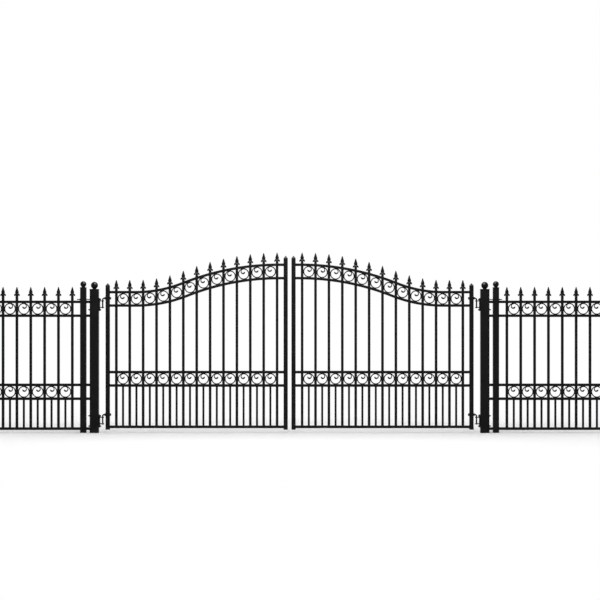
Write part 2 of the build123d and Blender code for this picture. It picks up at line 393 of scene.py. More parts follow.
def solid_mesh(solids: Iterable[Sequence[Sequence[Vector]]]) -> bpy.types.Mesh:
    """Closed solids, each through a stack of outlines with as many points each.

    Args:
        solids: For each solid its outlines, in order.

    Returns:
        One mesh, with its faces pointing outwards.
    """
    shape = bmesh.new()
    for outlines in solids:
        rings = [[shape.verts.new(point) for point in outline] for outline in outlines]
        for low, high in zip(rings, rings[1:]):
            for i in range(len(low)):
                after = (i + 1) % len(low)
                shape.faces.new((low[i], low[after], high[after], high[i]))
        shape.faces.new(rings[0][::-1])
        shape.faces.new(rings[-1])
    bmesh.ops.recalc_face_normals(shape, faces=shape.faces)
    mesh = bpy.data.meshes.new("solids")
    shape.to_mesh(mesh)
    shape.free()
    return mesh


def joined(meshes: Iterable[bpy.types.Mesh]) -> bpy.types.Mesh:
    """Join several meshes into one.

    Args:
        meshes: The meshes, which are used up.

    Returns:
        One mesh.
    """
    shape = bmesh.new()
    for mesh in meshes:
        shape.from_mesh(mesh)
        bpy.data.meshes.remove(mesh)
    result = bpy.data.meshes.new("joined")
    shape.to_mesh(result)
    shape.free()
    return result


class BarTree(GeometryTree):
    """Bars of a rounded rectangular section along lines that lie in the plane of the gate."""

    def __init__(self, materials: Materials) -> None:
        """Build the tree: lines, a normal along Y, the section, the bar.

        Args:
            materials: The materials that its meshes can have.
        """
        super().__init__("bars_along_lines", materials)
        thickness = self.named_input("Thickness", "NodeSocketFloat")
        depth = self.named_input("Depth", "NodeSocketFloat")
        corner = self.named_input("Corner Radius", "NodeSocketFloat")
        steps = self.named_input("Corner Steps", "NodeSocketInt")
        curve = self.node("GeometryNodeMeshToCurve", {}, {"Mesh": self.base})
        across = {"Curve": curve, "Normal": (0, 1, 0)}
        steady = self.node("GeometryNodeSetCurveNormal", {"mode": "FREE"}, across)
        swell = self.node("GeometryNodeInputNamedAttribute", {}, {"Name": "swell"})
        square = {"Width": depth, "Height": thickness}
        outline = self.node("GeometryNodeCurvePrimitiveQuadrilateral", {}, square)
        rounding = {"Curve": outline, "Count": steps, "Radius": corner, "Limit Radius": True}
        rounded = self.node("GeometryNodeFilletCurve", {"mode": "POLY"}, rounding)
        sweep = {"Curve": steady, "Profile Curve": rounded, "Scale": swell, "Fill Caps": True}
        self.close(self.node("GeometryNodeCurveToMesh", {}, sweep))

    def bars(self, lines: Iterable[Line], section: Section, slot: Slot) -> bpy.types.Mesh:
        """A bar along each line.

        Args:
            lines: The lines, in planes that hold no Y direction.
            section: The bars' section.
            slot: The slot whose material they get.

        Returns:
            One mesh of all bars.
        """
        inputs = {
            "Thickness": section.thickness,
            "Depth": section.depth,
            "Corner Radius": section.corner,
            "Corner Steps": section.steps,
        }
        return self.make(line_mesh(lines), slot, inputs)


class BeadTree(GeometryTree):
    """Weld beads: round runs along lines, uneven along their length."""

    THINNEST = 0.72
    THICKEST = 1.12
    RIPPLE = 5 * MM
    SIDES = 6

    def __init__(self, materials: Materials) -> None:
        """Build the tree: lines in short steps, an uneven radius, the bead.

        Args:
            materials: The materials that its meshes can have.
        """
        super().__init__("weld_beads_along_lines", materials)
        radius = self.named_input("Radius", "NodeSocketFloat")
        ripple = self.named_input("Ripple", "NodeSocketFloat")
        sides = self.named_input("Sides", "NodeSocketInt")
        seed = self.named_input("Seed", "NodeSocketInt")
        curve = self.node("GeometryNodeMeshToCurve", {}, {"Mesh": self.base})
        cut = {"Curve": curve, "Length": ripple}
        stepped = self.node("GeometryNodeResampleCurve", {"mode": "LENGTH"}, cut)
        spread = {2: self.THINNEST, 3: self.THICKEST, "Seed": seed}
        uneven = self.node("FunctionNodeRandomValue", {"data_type": "FLOAT"}, spread, output=1)
        circle = {"Resolution": sides, "Radius": radius}
        outline = self.node("GeometryNodeCurvePrimitiveCircle", {}, circle)
        sweep = {"Curve": stepped, "Profile Curve": outline, "Scale": uneven, "Fill Caps": True}
        self.close(self.node("GeometryNodeCurveToMesh", {}, sweep))

    def beads(
        self, lines: Iterable[Line], radius: float, seed: int, slot: Slot
    ) -> bpy.types.Mesh:
        """A bead along each line.

        Args:
            lines: The lines.
            radius: The bead's full radius.
            seed: Seed of its unevenness.
            slot: The slot whose material they get.

        Returns:
            One mesh of all beads.
        """
        inputs = {"Radius": radius, "Ripple": self.RIPPLE, "Sides": self.SIDES, "Seed": seed}
        return self.make(line_mesh(lines), slot, inputs)


class CopyTree(GeometryTree):
    """Copies of one shape at points."""

    def __init__(self, materials: Materials) -> None:
        """Build the tree: the shape of an object, set on each point.

        Args:
            materials: The materials that its meshes can have.
        """
        super().__init__("copies_at_points", materials)
        pattern = self.named_input("Pattern", "NodeSocketObject")
        shape = self.node("GeometryNodeObjectInfo", {}, {"Object": pattern}, output="Geometry")
        copies = {"Points": self.base, "Instance": shape}
        self.close(self.node("GeometryNodeInstanceOnPoints", {}, copies))

    def copies(
        self, pattern: bpy.types.Mesh, points: Iterable[Vector], slot: Slot
    ) -> bpy.types.Mesh:
        """A copy of a shape at each point.

        Args:
            pattern: The shape, drawn about the origin.
            points: The points.
            slot: The slot whose material they get.

        Returns:
            One mesh of all copies.
        """
        holder = bpy.data.objects.new("pattern", pattern)
        made = self.make(point_mesh(points), slot, {"Pattern": holder})
        bpy.data.objects.remove(holder)
        return made


class ThreadTree(GeometryTree):
    """A screw thread along X, from a point outwards."""

    STEPS_TO_A_TURN = 16
    RIDGE_SIDES = 4
    RIDGES_TO_A_PITCH = 3

    def __init__(self, materials: Materials) -> None:
        """Build the tree: a spiral, a small ridge along it, turned along X, at the point.

        Args:
            materials: The materials that its meshes can have.
        """
        super().__init__("thread_at_a_point", materials)
        radius = self.named_input("Radius", "NodeSocketFloat")
        winding = {
            "Resolution": self.STEPS_TO_A_TURN,
            "Height": self.named_input("Length", "NodeSocketFloat"),
            "Rotations": self.named_input("Turns", "NodeSocketFloat"),
            "Start Radius": radius,
            "End Radius": radius,
        }
        ridge = {
            "Resolution": self.RIDGE_SIDES,
            "Radius": self.named_input("Ridge", "NodeSocketFloat"),
        }
        sweep = {
            "Curve": self.node("GeometryNodeCurveSpiral", {}, winding),
            "Profile Curve": self.node("GeometryNodeCurvePrimitiveCircle", {}, ridge),
            "Fill Caps": True,
        }
        thread = self.node("GeometryNodeCurveToMesh", {}, sweep)
        turned = {"Geometry": thread, "Rotation": (0, pi / 2, 0)}
        laid = self.node("GeometryNodeTransform", {}, turned)
        copies = {"Points": self.base, "Instance": laid}
        self.close(self.node("GeometryNodeInstanceOnPoints", {}, copies))

    def thread(
        self, start: Vector, radius: float, length: float, pitch: float, slot: Slot
    ) -> bpy.types.Mesh:
        """A thread from a point along +X.

        Args:
            start: Where it starts.
            radius: The rod's radius.
            length: Length of the threaded end.
            pitch: From ridge to ridge.
            slot: The slot whose material it gets.

        Returns:
            Its mesh.
        """
        inputs = {
            "Radius": radius,
            "Length": length,
            "Turns": length / pitch,
            "Ridge": pitch / self.RIDGES_TO_A_PITCH,
        }
        return self.make(point_mesh([start]), slot, inputs)


class Shop:
    """The trees that every sub-assembly is made with."""

    def __init__(self, materials: Materials) -> None:
        """Build each tree once.

        Args:
            materials: The material of each slot.
        """
        self.bar = BarTree(materials)
        self.bead = BeadTree(materials)
        self.copy = CopyTree(materials)
        self.screw = ThreadTree(materials)


# Finishes

# FINE is the detail of the noise with the most structure. The pairs are the values of a normal's
# height or of a noise between which soil and weathering set in.
FINE = 3.0
UPWARD = (0.35, 0.95)
PATCHES = (0.35, 0.75)
DUST = (0.3, 0.7)
DROPS = (0.4, 0.62)


def noise(nodes: NodeMaker, place: Wire, size: float, detail: float = 2.0) -> Wire:
    """Noise with features of about one size, from 0 to 1."""
    values = {"Vector": place, "Scale": 1 / size, "Detail": detail}
    return nodes.node("ShaderNodeTexNoise", {}, values)


def mixed(nodes: NodeMaker, share: Wire, under: object, over: object) -> Wire:
    """Two colours mixed by a share."""
    settings = {"data_type": "RGBA", "blend_type": "MIX"}
    return nodes.node("ShaderNodeMix", settings, {0: share, 6: under, 7: over}, output=2)


def opaque(colour: Sequence[float]) -> tuple[float, ...]:
    """A colour with an alpha of 1."""
    return (*colour, 1.0)


@dataclass(frozen=True)
class BlackCoat:
    """Black powder coat on iron, with the marks of standing outdoors.

    Attributes:
        slot: The material slot that it finishes.
        colour: Its colour.
        roughness: Its mean roughness.
        specular: Strength of its reflections.
        grain: Size of the bumps in it.
        relief: Height of the bumps.
        lumps: Height of the unevenness of the metal under it, 0 on drawn bar.
        lump_size: Size of that unevenness.
        dust: Most dust on faces that look up.
        splash: Most dried splash near the ground.
        splash_height: How high the splash reaches.
        soil: Colour of dust and splash.
        fading: How much paler the coat is where it has weathered most.
        faded_share: How much of that shows.
        cloud_size: Size of the weathered patches.
        streak_size: Width of the streaks that rain leaves.
        streak_squeeze: Their width as a share of their length.
        speck_size: Size of the specks of dust.
        cloud_range: Change of the roughness from patch to patch.
        streak_range: Its change from streak to streak.
        soil_range: How much rougher soil is.
    """

    slot: Slot
    colour: tuple[float, float, float] = (0.0026, 0.0026, 0.003)
    roughness: float = 0.42
    specular: float = 0.075
    grain: float = 1.6 * MM
    relief: float = 0.16 * MM
    lumps: float = 0.0
    lump_size: float = 7 * MM
    dust: float = 0.06
    splash: float = 0.05
    splash_height: float = 0.34
    soil: tuple[float, float, float] = (0.17, 0.16, 0.145)
    fading: float = 1.9
    faded_share: float = 0.6
    cloud_size: float = 0.11
    streak_size: float = 9 * MM
    streak_squeeze: float = 0.06
    speck_size: float = 4 * MM
    cloud_range: float = 0.16
    streak_range: float = 0.12
    soil_range: float = 0.9

    def material(self) -> bpy.types.Material:
        """The finish as a material.

        Returns:
            A material of nodes on Object coordinates.
        """
        material = bpy.data.materials.new(self.slot.value)
        nodes = fresh_nodes(material)
        place = nodes.node("ShaderNodeTexCoord", {}, {}, output="Object")
        cloud = noise(nodes, place, self.cloud_size, FINE)
        soil = self.soiled(nodes, place, cloud)
        shader = nodes.node(
            "ShaderNodeBsdfPrincipled",
            {},
            {
                "Base Color": self.tint(nodes, cloud, soil),
                "Roughness": self.rough(nodes, place, cloud, soil),
                "Specular IOR Level": self.specular,
                "Normal": self.skin(nodes, place),
            },
        )
        nodes.node("ShaderNodeOutputMaterial", {}, {"Surface": shader})
        return material

    def soiled(self, nodes: NodeMaker, place: Wire, cloud: Wire) -> Wire:
        """How much dust and dried splash lie on the coat.

        Args:
            nodes: The material's nodes.
            place: Object coordinates.
            cloud: The noise of the weathered patches.

        Returns:
            The share of their colour.
        """
        facing = nodes.node("ShaderNodeNewGeometry", {}, {}, output="Normal")
        up = nodes.node("ShaderNodeSeparateXYZ", {}, {0: facing}, output="Z")
        height = nodes.node("ShaderNodeSeparateXYZ", {}, {0: place}, output="Z")
        speck = noise(nodes, place, self.speck_size)
        dusty = up.rise(*UPWARD) * speck.rise(*DUST) * self.dust
        low = height.rise(self.splash_height, 0.0)
        splashed = low * cloud.rise(*PATCHES) * speck.rise(*DROPS)
        return (dusty + splashed * self.splash).clamped()

    def tint(self, nodes: NodeMaker, cloud: Wire, soil: Wire) -> Wire:
        """The coat's colour, weathered in patches and soiled.

        Args:
            nodes: The material's nodes.
            cloud: The noise of the weathered patches.
            soil: The share of soil.

        Returns:
            The colour.
        """
        worn = tuple(self.fading * part for part in self.colour)
        faded = cloud.rise(*PATCHES) * self.faded_share
        coat = mixed(nodes, faded, opaque(self.colour), opaque(worn))
        return mixed(nodes, soil, coat, opaque(self.soil))

    def rough(self, nodes: NodeMaker, place: Wire, cloud: Wire, soil: Wire) -> Wire:
        """The coat's roughness, uneven in patches and in upright streaks.

        Args:
            nodes: The material's nodes.
            place: Object coordinates.
            cloud: The noise of the weathered patches.
            soil: The share of soil.

        Returns:
            The roughness.
        """
        squeeze = {0: place, 1: (1, 1, self.streak_squeeze)}
        stretched = nodes.node("ShaderNodeVectorMath", {"operation": "MULTIPLY"}, squeeze)
        streak = noise(nodes, stretched, self.streak_size)
        clouded = self.roughness + (cloud - 0.5) * self.cloud_range
        streaked = clouded + (streak - 0.5) * self.streak_range
        return (streaked + soil * self.soil_range).clamped()

    def skin(self, nodes: NodeMaker, place: Wire) -> Wire:
        """The peel of the coat, over lumps where the metal is cast or forged.

        Args:
            nodes: The material's nodes.
            place: Object coordinates.

        Returns:
            The normal.
        """
        peel = {"Height": noise(nodes, place, self.grain), "Distance": self.relief}
        skin = nodes.node("ShaderNodeBump", {}, {"Strength": 1.0, **peel}, output="Normal")
        if not self.lumps:
            return skin
        hammered = noise(nodes, place, self.lump_size, FINE)
        lumps = {"Height": hammered, "Distance": self.lumps, "Normal": skin}
        return nodes.node("ShaderNodeBump", {}, {"Strength": 1.0, **lumps}, output="Normal")


FINISHES = (
    BlackCoat(Slot.TUBE, roughness=0.40),
    BlackCoat(Slot.RAIL, roughness=0.42),
    BlackCoat(Slot.PICKET, roughness=0.43),
    BlackCoat(Slot.SCROLL, roughness=0.45, lumps=0.4 * MM),
    BlackCoat(Slot.SPEAR, roughness=0.48, specular=0.05, lumps=0.9 * MM, relief=0.2 * MM),
    BlackCoat(Slot.HINGE, roughness=0.36, specular=0.1, lumps=0.4 * MM),
    BlackCoat(Slot.CAP, roughness=0.24, specular=0.09, lumps=0.06 * MM, relief=0.08 * MM),
)


class PaintShop:
    """Gives each finished mesh its object, body and slot, and hides the nodes it stands for."""

    def __init__(self, finishes: Iterable[BlackCoat]) -> None:
        """Make the material of each finish.

        Args:
            finishes: One finish for each slot.
        """
        self.materials = {finish.slot: finish.material() for finish in finishes}

    def piece(
        self,
        name: str,
        mesh: bpy.types.Mesh,
        slot: Slot,
        body: str,
        replaced: Sequence[str] = (),
        edge_angle: float = 38.0,
    ) -> None:
        """Make a piece of the gate from a mesh.

        Args:
            name: The piece's name.
            mesh: Its mesh, in place. It is used up.
            slot: The slot that it takes its finish from.
            body: The body that it rides on.
            replaced: The nodes that it stands for.
            edge_angle: Edges turn sharp above this angle, in degrees.
        """
        # Joined meshes come bare and copies bring an empty slot, so the slots are filled afresh.
        mesh.materials.clear()
        mesh.materials.append(self.materials[slot])
        for polygon in mesh.polygons:
            polygon.material_index = 0
        mesh.shade_smooth()
        mesh.set_sharp_from_angle(angle=radians(edge_angle))
        piece = placed(name, mesh)
        even = piece.modifiers.new("even_flats", "WEIGHTED_NORMAL")
        even.keep_sharp = True
        finished = evaluated_mesh(piece)
        piece.modifiers.clear()
        piece.data = finished
        bpy.data.meshes.remove(mesh)
        finished.name = name
        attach(piece, body)
        if replaced:
            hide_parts(*replaced)
        log.info("%s: %d faces on %s", name, len(finished.polygons), body)


# Places along the gate


@dataclass(frozen=True)
class Extent:
    """Where a node lies.

    Attributes:
        inner: Its near side, out from the gate's centre line.
        outer: Its far side.
        bottom: Its lowest point above the ground.
        top: Its highest point.
        half_depth: Half its reach along Y.
    """

    inner: float
    outer: float
    bottom: float
    top: float
    half_depth: float

    @property
    def middle(self) -> float:
        """Halfway out."""
        return (self.inner + self.outer) / 2

    @property
    def height(self) -> float:
        """From the bottom to the top."""
        return self.top - self.bottom

    @property
    def level(self) -> float:
        """Halfway up."""
        return (self.bottom + self.top) / 2

    def square(self, corner: float, steps: int = 2) -> Section:
        """The section of square bars as deep as the node.

        Args:
            corner: Radius of the bars' edges.
            steps: Flats that make each edge.

        Returns:
            The section.
        """
        return Section(2 * self.half_depth, 2 * self.half_depth, corner, steps)


@dataclass(frozen=True)
class Half:
    """One side of the gate.

    Attributes:
        side: Which side.
        centre: X of the gate's centre line.
    """

    side: Side
    centre: float

    @property
    def leaf_body(self) -> str:
        """The body of this side's leaf."""
        return f"{self.side.word}_leaf"

    def node(self, name: str) -> str:
        """The full name of one of this side's nodes or pieces."""
        return f"{self.side.word}_{name}"

    def extent(self, name: str) -> Extent:
        """Where one of this side's nodes lies.

        Args:
            name: The node's name, without its side.

        Returns:
            Its extent.
        """
        low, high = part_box(self.node(name))
        ends = sorted(self.side.value * (x - self.centre) for x in (low.x, high.x))
        return Extent(ends[0], ends[1], low.z, high.z, (high.y - low.y) / 2)

    def at(self, out: float, z: float, y: float = 0.0) -> Vector:
        """A point of this side."""
        return Vector((self.centre + self.side.value * out, y, z))

    def line(
        self, places: Iterable[tuple[float, float]], swell: Sequence[float] | None = None
    ) -> Line:
        """A line in the plane of the gate.

        Args:
            places: Its points, as distance out and height.
            swell: The section's size at each point.

        Returns:
            The line.
        """
        return Line([self.at(out, z) for out, z in places], False, swell)


def evenly(first: float, last: float, count: int) -> list[float]:
    """Places from the first to the last at one pitch."""
    return [first + (last - first) * i / (count - 1) for i in range(count)]


def bays(places: Sequence[float]) -> list[float]:
    """Middles between neighbouring places."""
    return [(a + b) / 2 for a, b in zip(places, places[1:])]


def arc(
    centre: tuple[float, float], radius: float, start: float, end: float, steps: int
) -> list[tuple[float, float]]:
    """Points of an arc.

    Args:
        centre: Its centre.
        radius: Its radius.
        start: Angle of the first point, in degrees.
        end: Angle of the last point.
        steps: Number of steps.

    Returns:
        One point more than there are steps.
    """
    angles = [radians(start + (end - start) * i / steps) for i in range(steps + 1)]
    return [(centre[0] + radius * cos(a), centre[1] + radius * sin(a)) for a in angles]


@dataclass(frozen=True)
class Edges:
    """Radii of the rolled edges of the gate's bars.

    Attributes:
        post: Of a gate post.
        fence_post: Of a fence post or an end post.
        stile: Of a stile.
        rail: Of a rail.
        picket: Of a picket.
        short_picket: Of a short picket.
    """

    post: float = 6 * MM
    fence_post: float = 4.5 * MM
    stile: float = 4 * MM
    rail: float = 2.8 * MM
    picket: float = 2 * MM
    short_picket: float = 1.7 * MM


@dataclass(frozen=True)
class Sections:
    """The sections of the gate's bars: as wide as their nodes, with rolled edges.

    Attributes:
        post: A gate post's.
        fence_post: A fence post's, which the end post shares.
        stile: A stile's.
        rail: A rail's.
        picket: A picket's.
        short_picket: A short picket's.
    """

    post: Section
    fence_post: Section
    stile: Section
    rail: Section
    picket: Section
    short_picket: Section

    @classmethod
    def read(cls, half: Half, edges: Edges = Edges()) -> "Sections":
        """Read every width from the nodes of one side.

        Args:
            half: The side.
            edges: The radii of the rolled edges.

        Returns:
            The sections.
        """
        rail = half.extent("bottom_rail")
        return cls(
            post=half.extent("gate_post").square(edges.post, steps=4),
            fence_post=half.extent("fence_post").square(edges.fence_post, steps=4),
            stile=half.extent("hinge_stile").square(edges.stile, steps=3),
            rail=Section(rail.height, 2 * rail.half_depth, edges.rail),
            picket=half.extent("pickets").square(edges.picket),
            short_picket=half.extent("short_pickets").square(edges.short_picket),
        )


@dataclass(frozen=True)
class Scroll:
    """A scroll ring: a ring of flat bar, and a curl that leaves it and hooks round inside it.

    Attributes:
        cell: Side of the square cell that the ring fills.
        curl_side: 1 where the curl runs down the outer side, -1 for the inner.
        bite: How far the ring is let into the bars at its four sides.
        ring: The ring's section.
        curl: The curl's section where it is full.
        curl_start: From the curl's first arc sideways to the ring's centre.
        curl_radius: Radius of the first arc, which runs down one side.
        curl_sweep: Turn of that arc, in degrees.
        hook_radius: Radius of the second arc, which runs round the bottom.
        hook_sweep: Turn of that arc, in degrees.
        lap: How far the curl's bar starts within the ring's.
        neck: Size of the curl's section where it leaves the ring, as a share of its full one.
        knob: Its size at the thickest place of the hook.
        thickest: Where that place is, as a share of the way round the hook.
        tip: Its size at the end of the hook.
        taper: Power of the curve by which the knob thins out to the tip.
        nose: The rounded end: shares of the way along it, with the size at each.
        down_steps: Steps of the first arc.
        hook_steps: Steps of the second arc.
        ring_steps: Steps of the ring.
    """

    cell: float
    curl_side: int
    bite: float = 2.5 * MM
    ring: Section = Section(11.5 * MM, 14 * MM, 2.8 * MM)
    curl: Section = Section(11.5 * MM, 11.5 * MM, 3.2 * MM)
    curl_start: float = 2.5 * MM
    curl_radius: float = 24.5 * MM
    curl_sweep: float = 110.0
    hook_radius: float = 19.5 * MM
    hook_sweep: float = 140.0
    lap: float = 7 * MM
    neck: float = 0.62
    knob: float = 1.5
    thickest: float = 0.72
    tip: float = 1.0
    taper: float = 1.5
    nose: tuple[tuple[float, float], ...] = ((0.5, 0.87), (0.85, 0.53), (1.0, 0.12))
    down_steps: int = 7
    hook_steps: int = 11
    ring_steps: int = 36

    @property
    def outer(self) -> float:
        """Outer radius of the ring."""
        return self.cell / 2 + self.bite

    def curl_line(self) -> tuple[list[tuple[float, float]], list[float]]:
        """The curl's line and the size of its section along it.

        Returns:
            Points about the ring's centre, and a swell for each.
        """
        top = self.outer - self.ring.thickness - self.curl.thickness / 2 + self.lap
        first = (self.curl_start, top - self.curl_radius)
        start = 90 - self.curl_sweep
        inward = self.curl_radius - self.hook_radius
        second = (
            first[0] + inward * cos(radians(start)),
            first[1] + inward * sin(radians(start)),
        )
        down = arc(first, self.curl_radius, 90, start, self.down_steps)
        hook = arc(second, self.hook_radius, start, start - self.hook_sweep, self.hook_steps)
        heading = radians(start - self.hook_sweep - 90)
        x, z = hook[-1]
        ahead = [share * self.tip * self.curl.thickness / 2 for share, _ in self.nose]
        nose = [(x + step * cos(heading), z + step * sin(heading)) for step in ahead]
        steps = self.down_steps
        swell = [self.neck + (1 - self.neck) * (i / steps) ** 2 for i in range(steps)]
        swell += [self.hook_swell(i / self.hook_steps) for i in range(self.hook_steps + 1)]
        swell += [self.tip * size for _, size in self.nose]
        return down + hook[1:] + nose, swell

    def hook_swell(self, share: float) -> float:
        """Size of the curl's section at a share of the way round the hook.

        Args:
            share: The share, from 0 to 1.

        Returns:
            The size, as a share of the full section.
        """
        if share < self.thickest:
            return 1 + (self.knob - 1) * sin(share / self.thickest * pi / 2) ** 2
        past = (share - self.thickest) / (1 - self.thickest)
        return self.knob + (self.tip - self.knob) * past**self.taper

    def mesh(self, shop: Shop, direction: int) -> bpy.types.Mesh:
        """The ring with its curl, about its centre.

        Args:
            shop: The trees.
            direction: 1 on the right side of the gate, -1 on the left.

        Returns:
            One mesh.
        """
        flip = self.curl_side * direction
        middle = self.outer - self.ring.thickness / 2
        circle = arc((0, 0), middle, 0, 360, self.ring_steps)[:-1]
        points, swell = self.curl_line()
        ring = Line([Vector((x, 0, z)) for x, z in circle], True)
        curl = Line([Vector((flip * x, 0, z)) for x, z in points], False, swell)
        parts = ((ring, self.ring), (curl, self.curl))
        return joined([shop.bar.bars([line], bar, Slot.SCROLL) for line, bar in parts])


@dataclass(frozen=True)
class Station:
    """One level of a spear head, in millimetres, with a section of ten corners.

    Attributes:
        z: Its height over the picket's end.
        half_width: Half its width.
        edge: Half its depth at the two edges.
        shoulder: Half its depth between edge and ridge.
        ridge: Half its depth along the middle.
    """

    z: float
    half_width: float
    edge: float
    shoulder: float
    ridge: float

    SHOULDER_PLACE = 0.45

    def outline(self) -> list[Vector]:
        """The section: thin at the edges and full along the ridge.

        Returns:
            Ten points in a level plane.
        """
        wide, near = self.half_width, self.SHOULDER_PLACE * self.half_width
        right = [(wide, self.edge), (near, self.shoulder)]
        left = [(-x, y) for x, y in reversed(right)]
        front = right + [(0, self.ridge)] + left
        back = [(-x, -y) for x, y in front]
        return [Vector((x * MM, y * MM, self.z * MM)) for x, y in front + back]


@dataclass(frozen=True)
class BarbLevel:
    """One place along a barb, in millimetres, with a rounded section of eight corners.

    Attributes:
        out: How far from the picket's middle it is.
        upper: Height of its upper edge over the picket's end.
        lower: Height of its lower edge.
        half_depth: Half its depth.
    """

    out: float
    upper: float
    lower: float
    half_depth: float

    CORNER_DEPTH = 0.74
    CORNER_INSET = 0.16

    def outline(self, direction: int) -> list[Vector]:
        """The barb's rounded section there.

        Args:
            direction: 1 or -1, the way the barb points along X.

        Returns:
            Eight points in a plane across X.
        """
        middle, body = (self.upper + self.lower) / 2, self.CORNER_DEPTH * self.half_depth
        inset = self.CORNER_INSET * (self.upper - self.lower)
        high, low = self.upper - inset, self.lower + inset
        side = [(0, self.upper), (body, high), (self.half_depth, middle), (body, low)]
        far = [(0, self.lower), (-body, low), (-self.half_depth, middle), (-body, high)]
        return [Vector((direction * self.out * MM, y * MM, z * MM)) for y, z in side + far]


@dataclass(frozen=True)
class SpearHead:
    """A cast spear head on a picket, with its origin where the picket ends.

    Attributes:
        stations: The levels of its blade, from the picket up.
        barb_levels: The places along a barb, from its root to its tip.
    """

    stations: tuple[Station, ...] = (
        Station(-1, 14.6, 14.6, 14.6, 14.6),
        Station(4, 14.6, 14.6, 14.6, 14.6),
        Station(9, 14.6, 9.5, 10.8, 11.2),
        Station(16, 16.2, 5.0, 7.6, 8.8),
        Station(22, 17.8, 3.6, 7.0, 8.6),
        Station(28, 18.9, 2.8, 6.9, 9.2),
        Station(33, 19.4, 2.4, 7.0, 9.7),
        Station(37, 19.0, 2.3, 7.0, 9.8),
        Station(43, 16.9, 2.2, 6.6, 9.4),
        Station(54, 13.2, 2.0, 5.6, 8.2),
        Station(66, 9.9, 1.8, 4.4, 6.6),
        Station(78, 6.4, 1.5, 3.0, 4.4),
        Station(85, 4.0, 1.2, 2.0, 2.6),
        Station(88, 1.8, 0.8, 1.1, 1.2),
    )
    barb_levels: tuple[BarbLevel, ...] = (
        BarbLevel(6, 24.0, 0.0, 7.6),
        BarbLevel(12, 22.0, -1.5, 7.4),
        BarbLevel(16, 18.6, -4.4, 7.2),
        BarbLevel(20, 15.6, -7.2, 6.8),
        BarbLevel(24, 13.0, -9.4, 6.3),
        BarbLevel(27.5, 10.6, -10.4, 5.6),
        BarbLevel(29.8, 7.0, -9.4, 4.4),
        BarbLevel(30.7, 2.5, -5.6, 2.6),
    )

    def barb(self, direction: int) -> list[list[Vector]]:
        """One barb, swept out and down past the picket.

        Args:
            direction: 1 or -1, the way it points along X.

        Returns:
            Its outlines, from the root to the tip.
        """
        return [level.outline(direction) for level in self.barb_levels]

    def mesh(self) -> bpy.types.Mesh:
        """The whole head."""
        blade = [station.outline() for station in self.stations]
        return solid_mesh([blade, self.barb(1), self.barb(-1)])


@dataclass(frozen=True)
class Arch:
    """The leaf's top line: flat at the meeting stile, two tangent arcs, flat at the hinge stile.

    Attributes:
        crown_z: Height of the top rail's middle at the meeting stile.
        shoulder_z: Its height at the hinge stile.
        inner: Where the rail starts.
        outer: Where it ends.
        crown_x: Where the upper arc starts.
        shoulder_x: Where the lower arc ends.
        crown_radius: Radius of the upper arc.
        steps: Steps of each arc.
    """

    crown_z: float
    shoulder_z: float
    inner: float
    outer: float
    crown_x: float
    shoulder_x: float
    crown_radius: float = 2.8
    steps: int = 18

    @property
    def angle(self) -> float:
        """The turn of each arc."""
        return 2 * atan2(self.crown_z - self.shoulder_z, self.shoulder_x - self.crown_x)

    @property
    def shoulder_radius(self) -> float:
        """Radius of the lower arc."""
        return (self.shoulder_x - self.crown_x) / sin(self.angle) - self.crown_radius

    def line(self, drop: float) -> list[tuple[float, float]]:
        """The line that runs parallel to the top rail, a distance below it.

        Args:
            drop: The distance, along the line's own normal.

        Returns:
            Its points, as distance out and height.
        """
        turn = degrees(self.angle)
        crown = (self.crown_x, self.crown_z - self.crown_radius)
        shoulder = (self.shoulder_x, self.shoulder_z + self.shoulder_radius)
        upper = arc(crown, self.crown_radius - drop, 90, 90 - turn, self.steps)
        lower = arc(shoulder, self.shoulder_radius + drop, 270 - turn, 270, self.steps)
        start = (self.inner, self.crown_z - drop)
        end = (self.outer, self.shoulder_z - drop)
        return [start] + upper + lower[1:] + [end]

    def height(self, out: float, drop: float) -> float:
        """Height of that line at one place.

        Args:
            out: How far out the place is.
            drop: Distance of the line below the top rail.

        Returns:
            The height.
        """
        crown_r = self.crown_radius - drop
        shoulder_r = self.shoulder_radius + drop
        if out <= self.crown_x:
            return self.crown_z - drop
        if out <= self.crown_x + crown_r * sin(self.angle):
            return self.crown_z - self.crown_radius + sqrt(crown_r**2 - (out - self.crown_x) ** 2)
        if out < self.shoulder_x:
            dip = sqrt(shoulder_r**2 - (out - self.shoulder_x) ** 2)
            return self.shoulder_z + self.shoulder_radius - dip
        return self.shoulder_z - drop

    def slope(self, out: float, drop: float) -> float:
        """Angle of that line at a distance out, in radians, below 0 where it falls outwards."""
        step = 1 * MM
        return atan2(self.height(out + step, drop) - self.height(out - step, drop), 2 * step)


def loop_round(
    middle: Vector, along_y: float, along_z: float, corner: float, steps: int = 2
) -> Line:
    """A closed line round a bar's end where it meets a face that looks along X.

    Args:
        middle: Middle of the end.
        along_y: Half its depth.
        along_z: Half its height.
        corner: Radius of its corners.
        steps: Steps of each corner.

    Returns:
        The line.
    """
    places = []
    for turn, (y, z) in enumerate(CORNERS):
        centre = (y * (along_y - corner), z * (along_z - corner))
        places += arc(centre, corner, 90 * turn, 90 * turn + 90, steps)
    return Line([middle + Vector((0, y, z)) for y, z in places], True)


def foot_loop(middle: Vector, half: float) -> Line:
    """A closed line round the foot of a square bar that stands on a level face."""
    return Line([middle + Vector((x * half, y * half, 0)) for x, y in CORNERS], True)


def tack(middle: Vector, half: float) -> Line:
    """A short line along Y, where a ring is tacked to a bar."""
    return Line([middle + Vector((0, -half, 0)), middle + Vector((0, half, 0))])


# Sub-assemblies


class Cell(NamedTuple):
    """A cell between two rails and two pickets, which a scroll ring fills.

    Attributes:
        out: How far out its middle is.
        z: Height of its middle.
        slope: The rails' slope there.
    """

    out: float
    z: float
    slope: float = 0.0


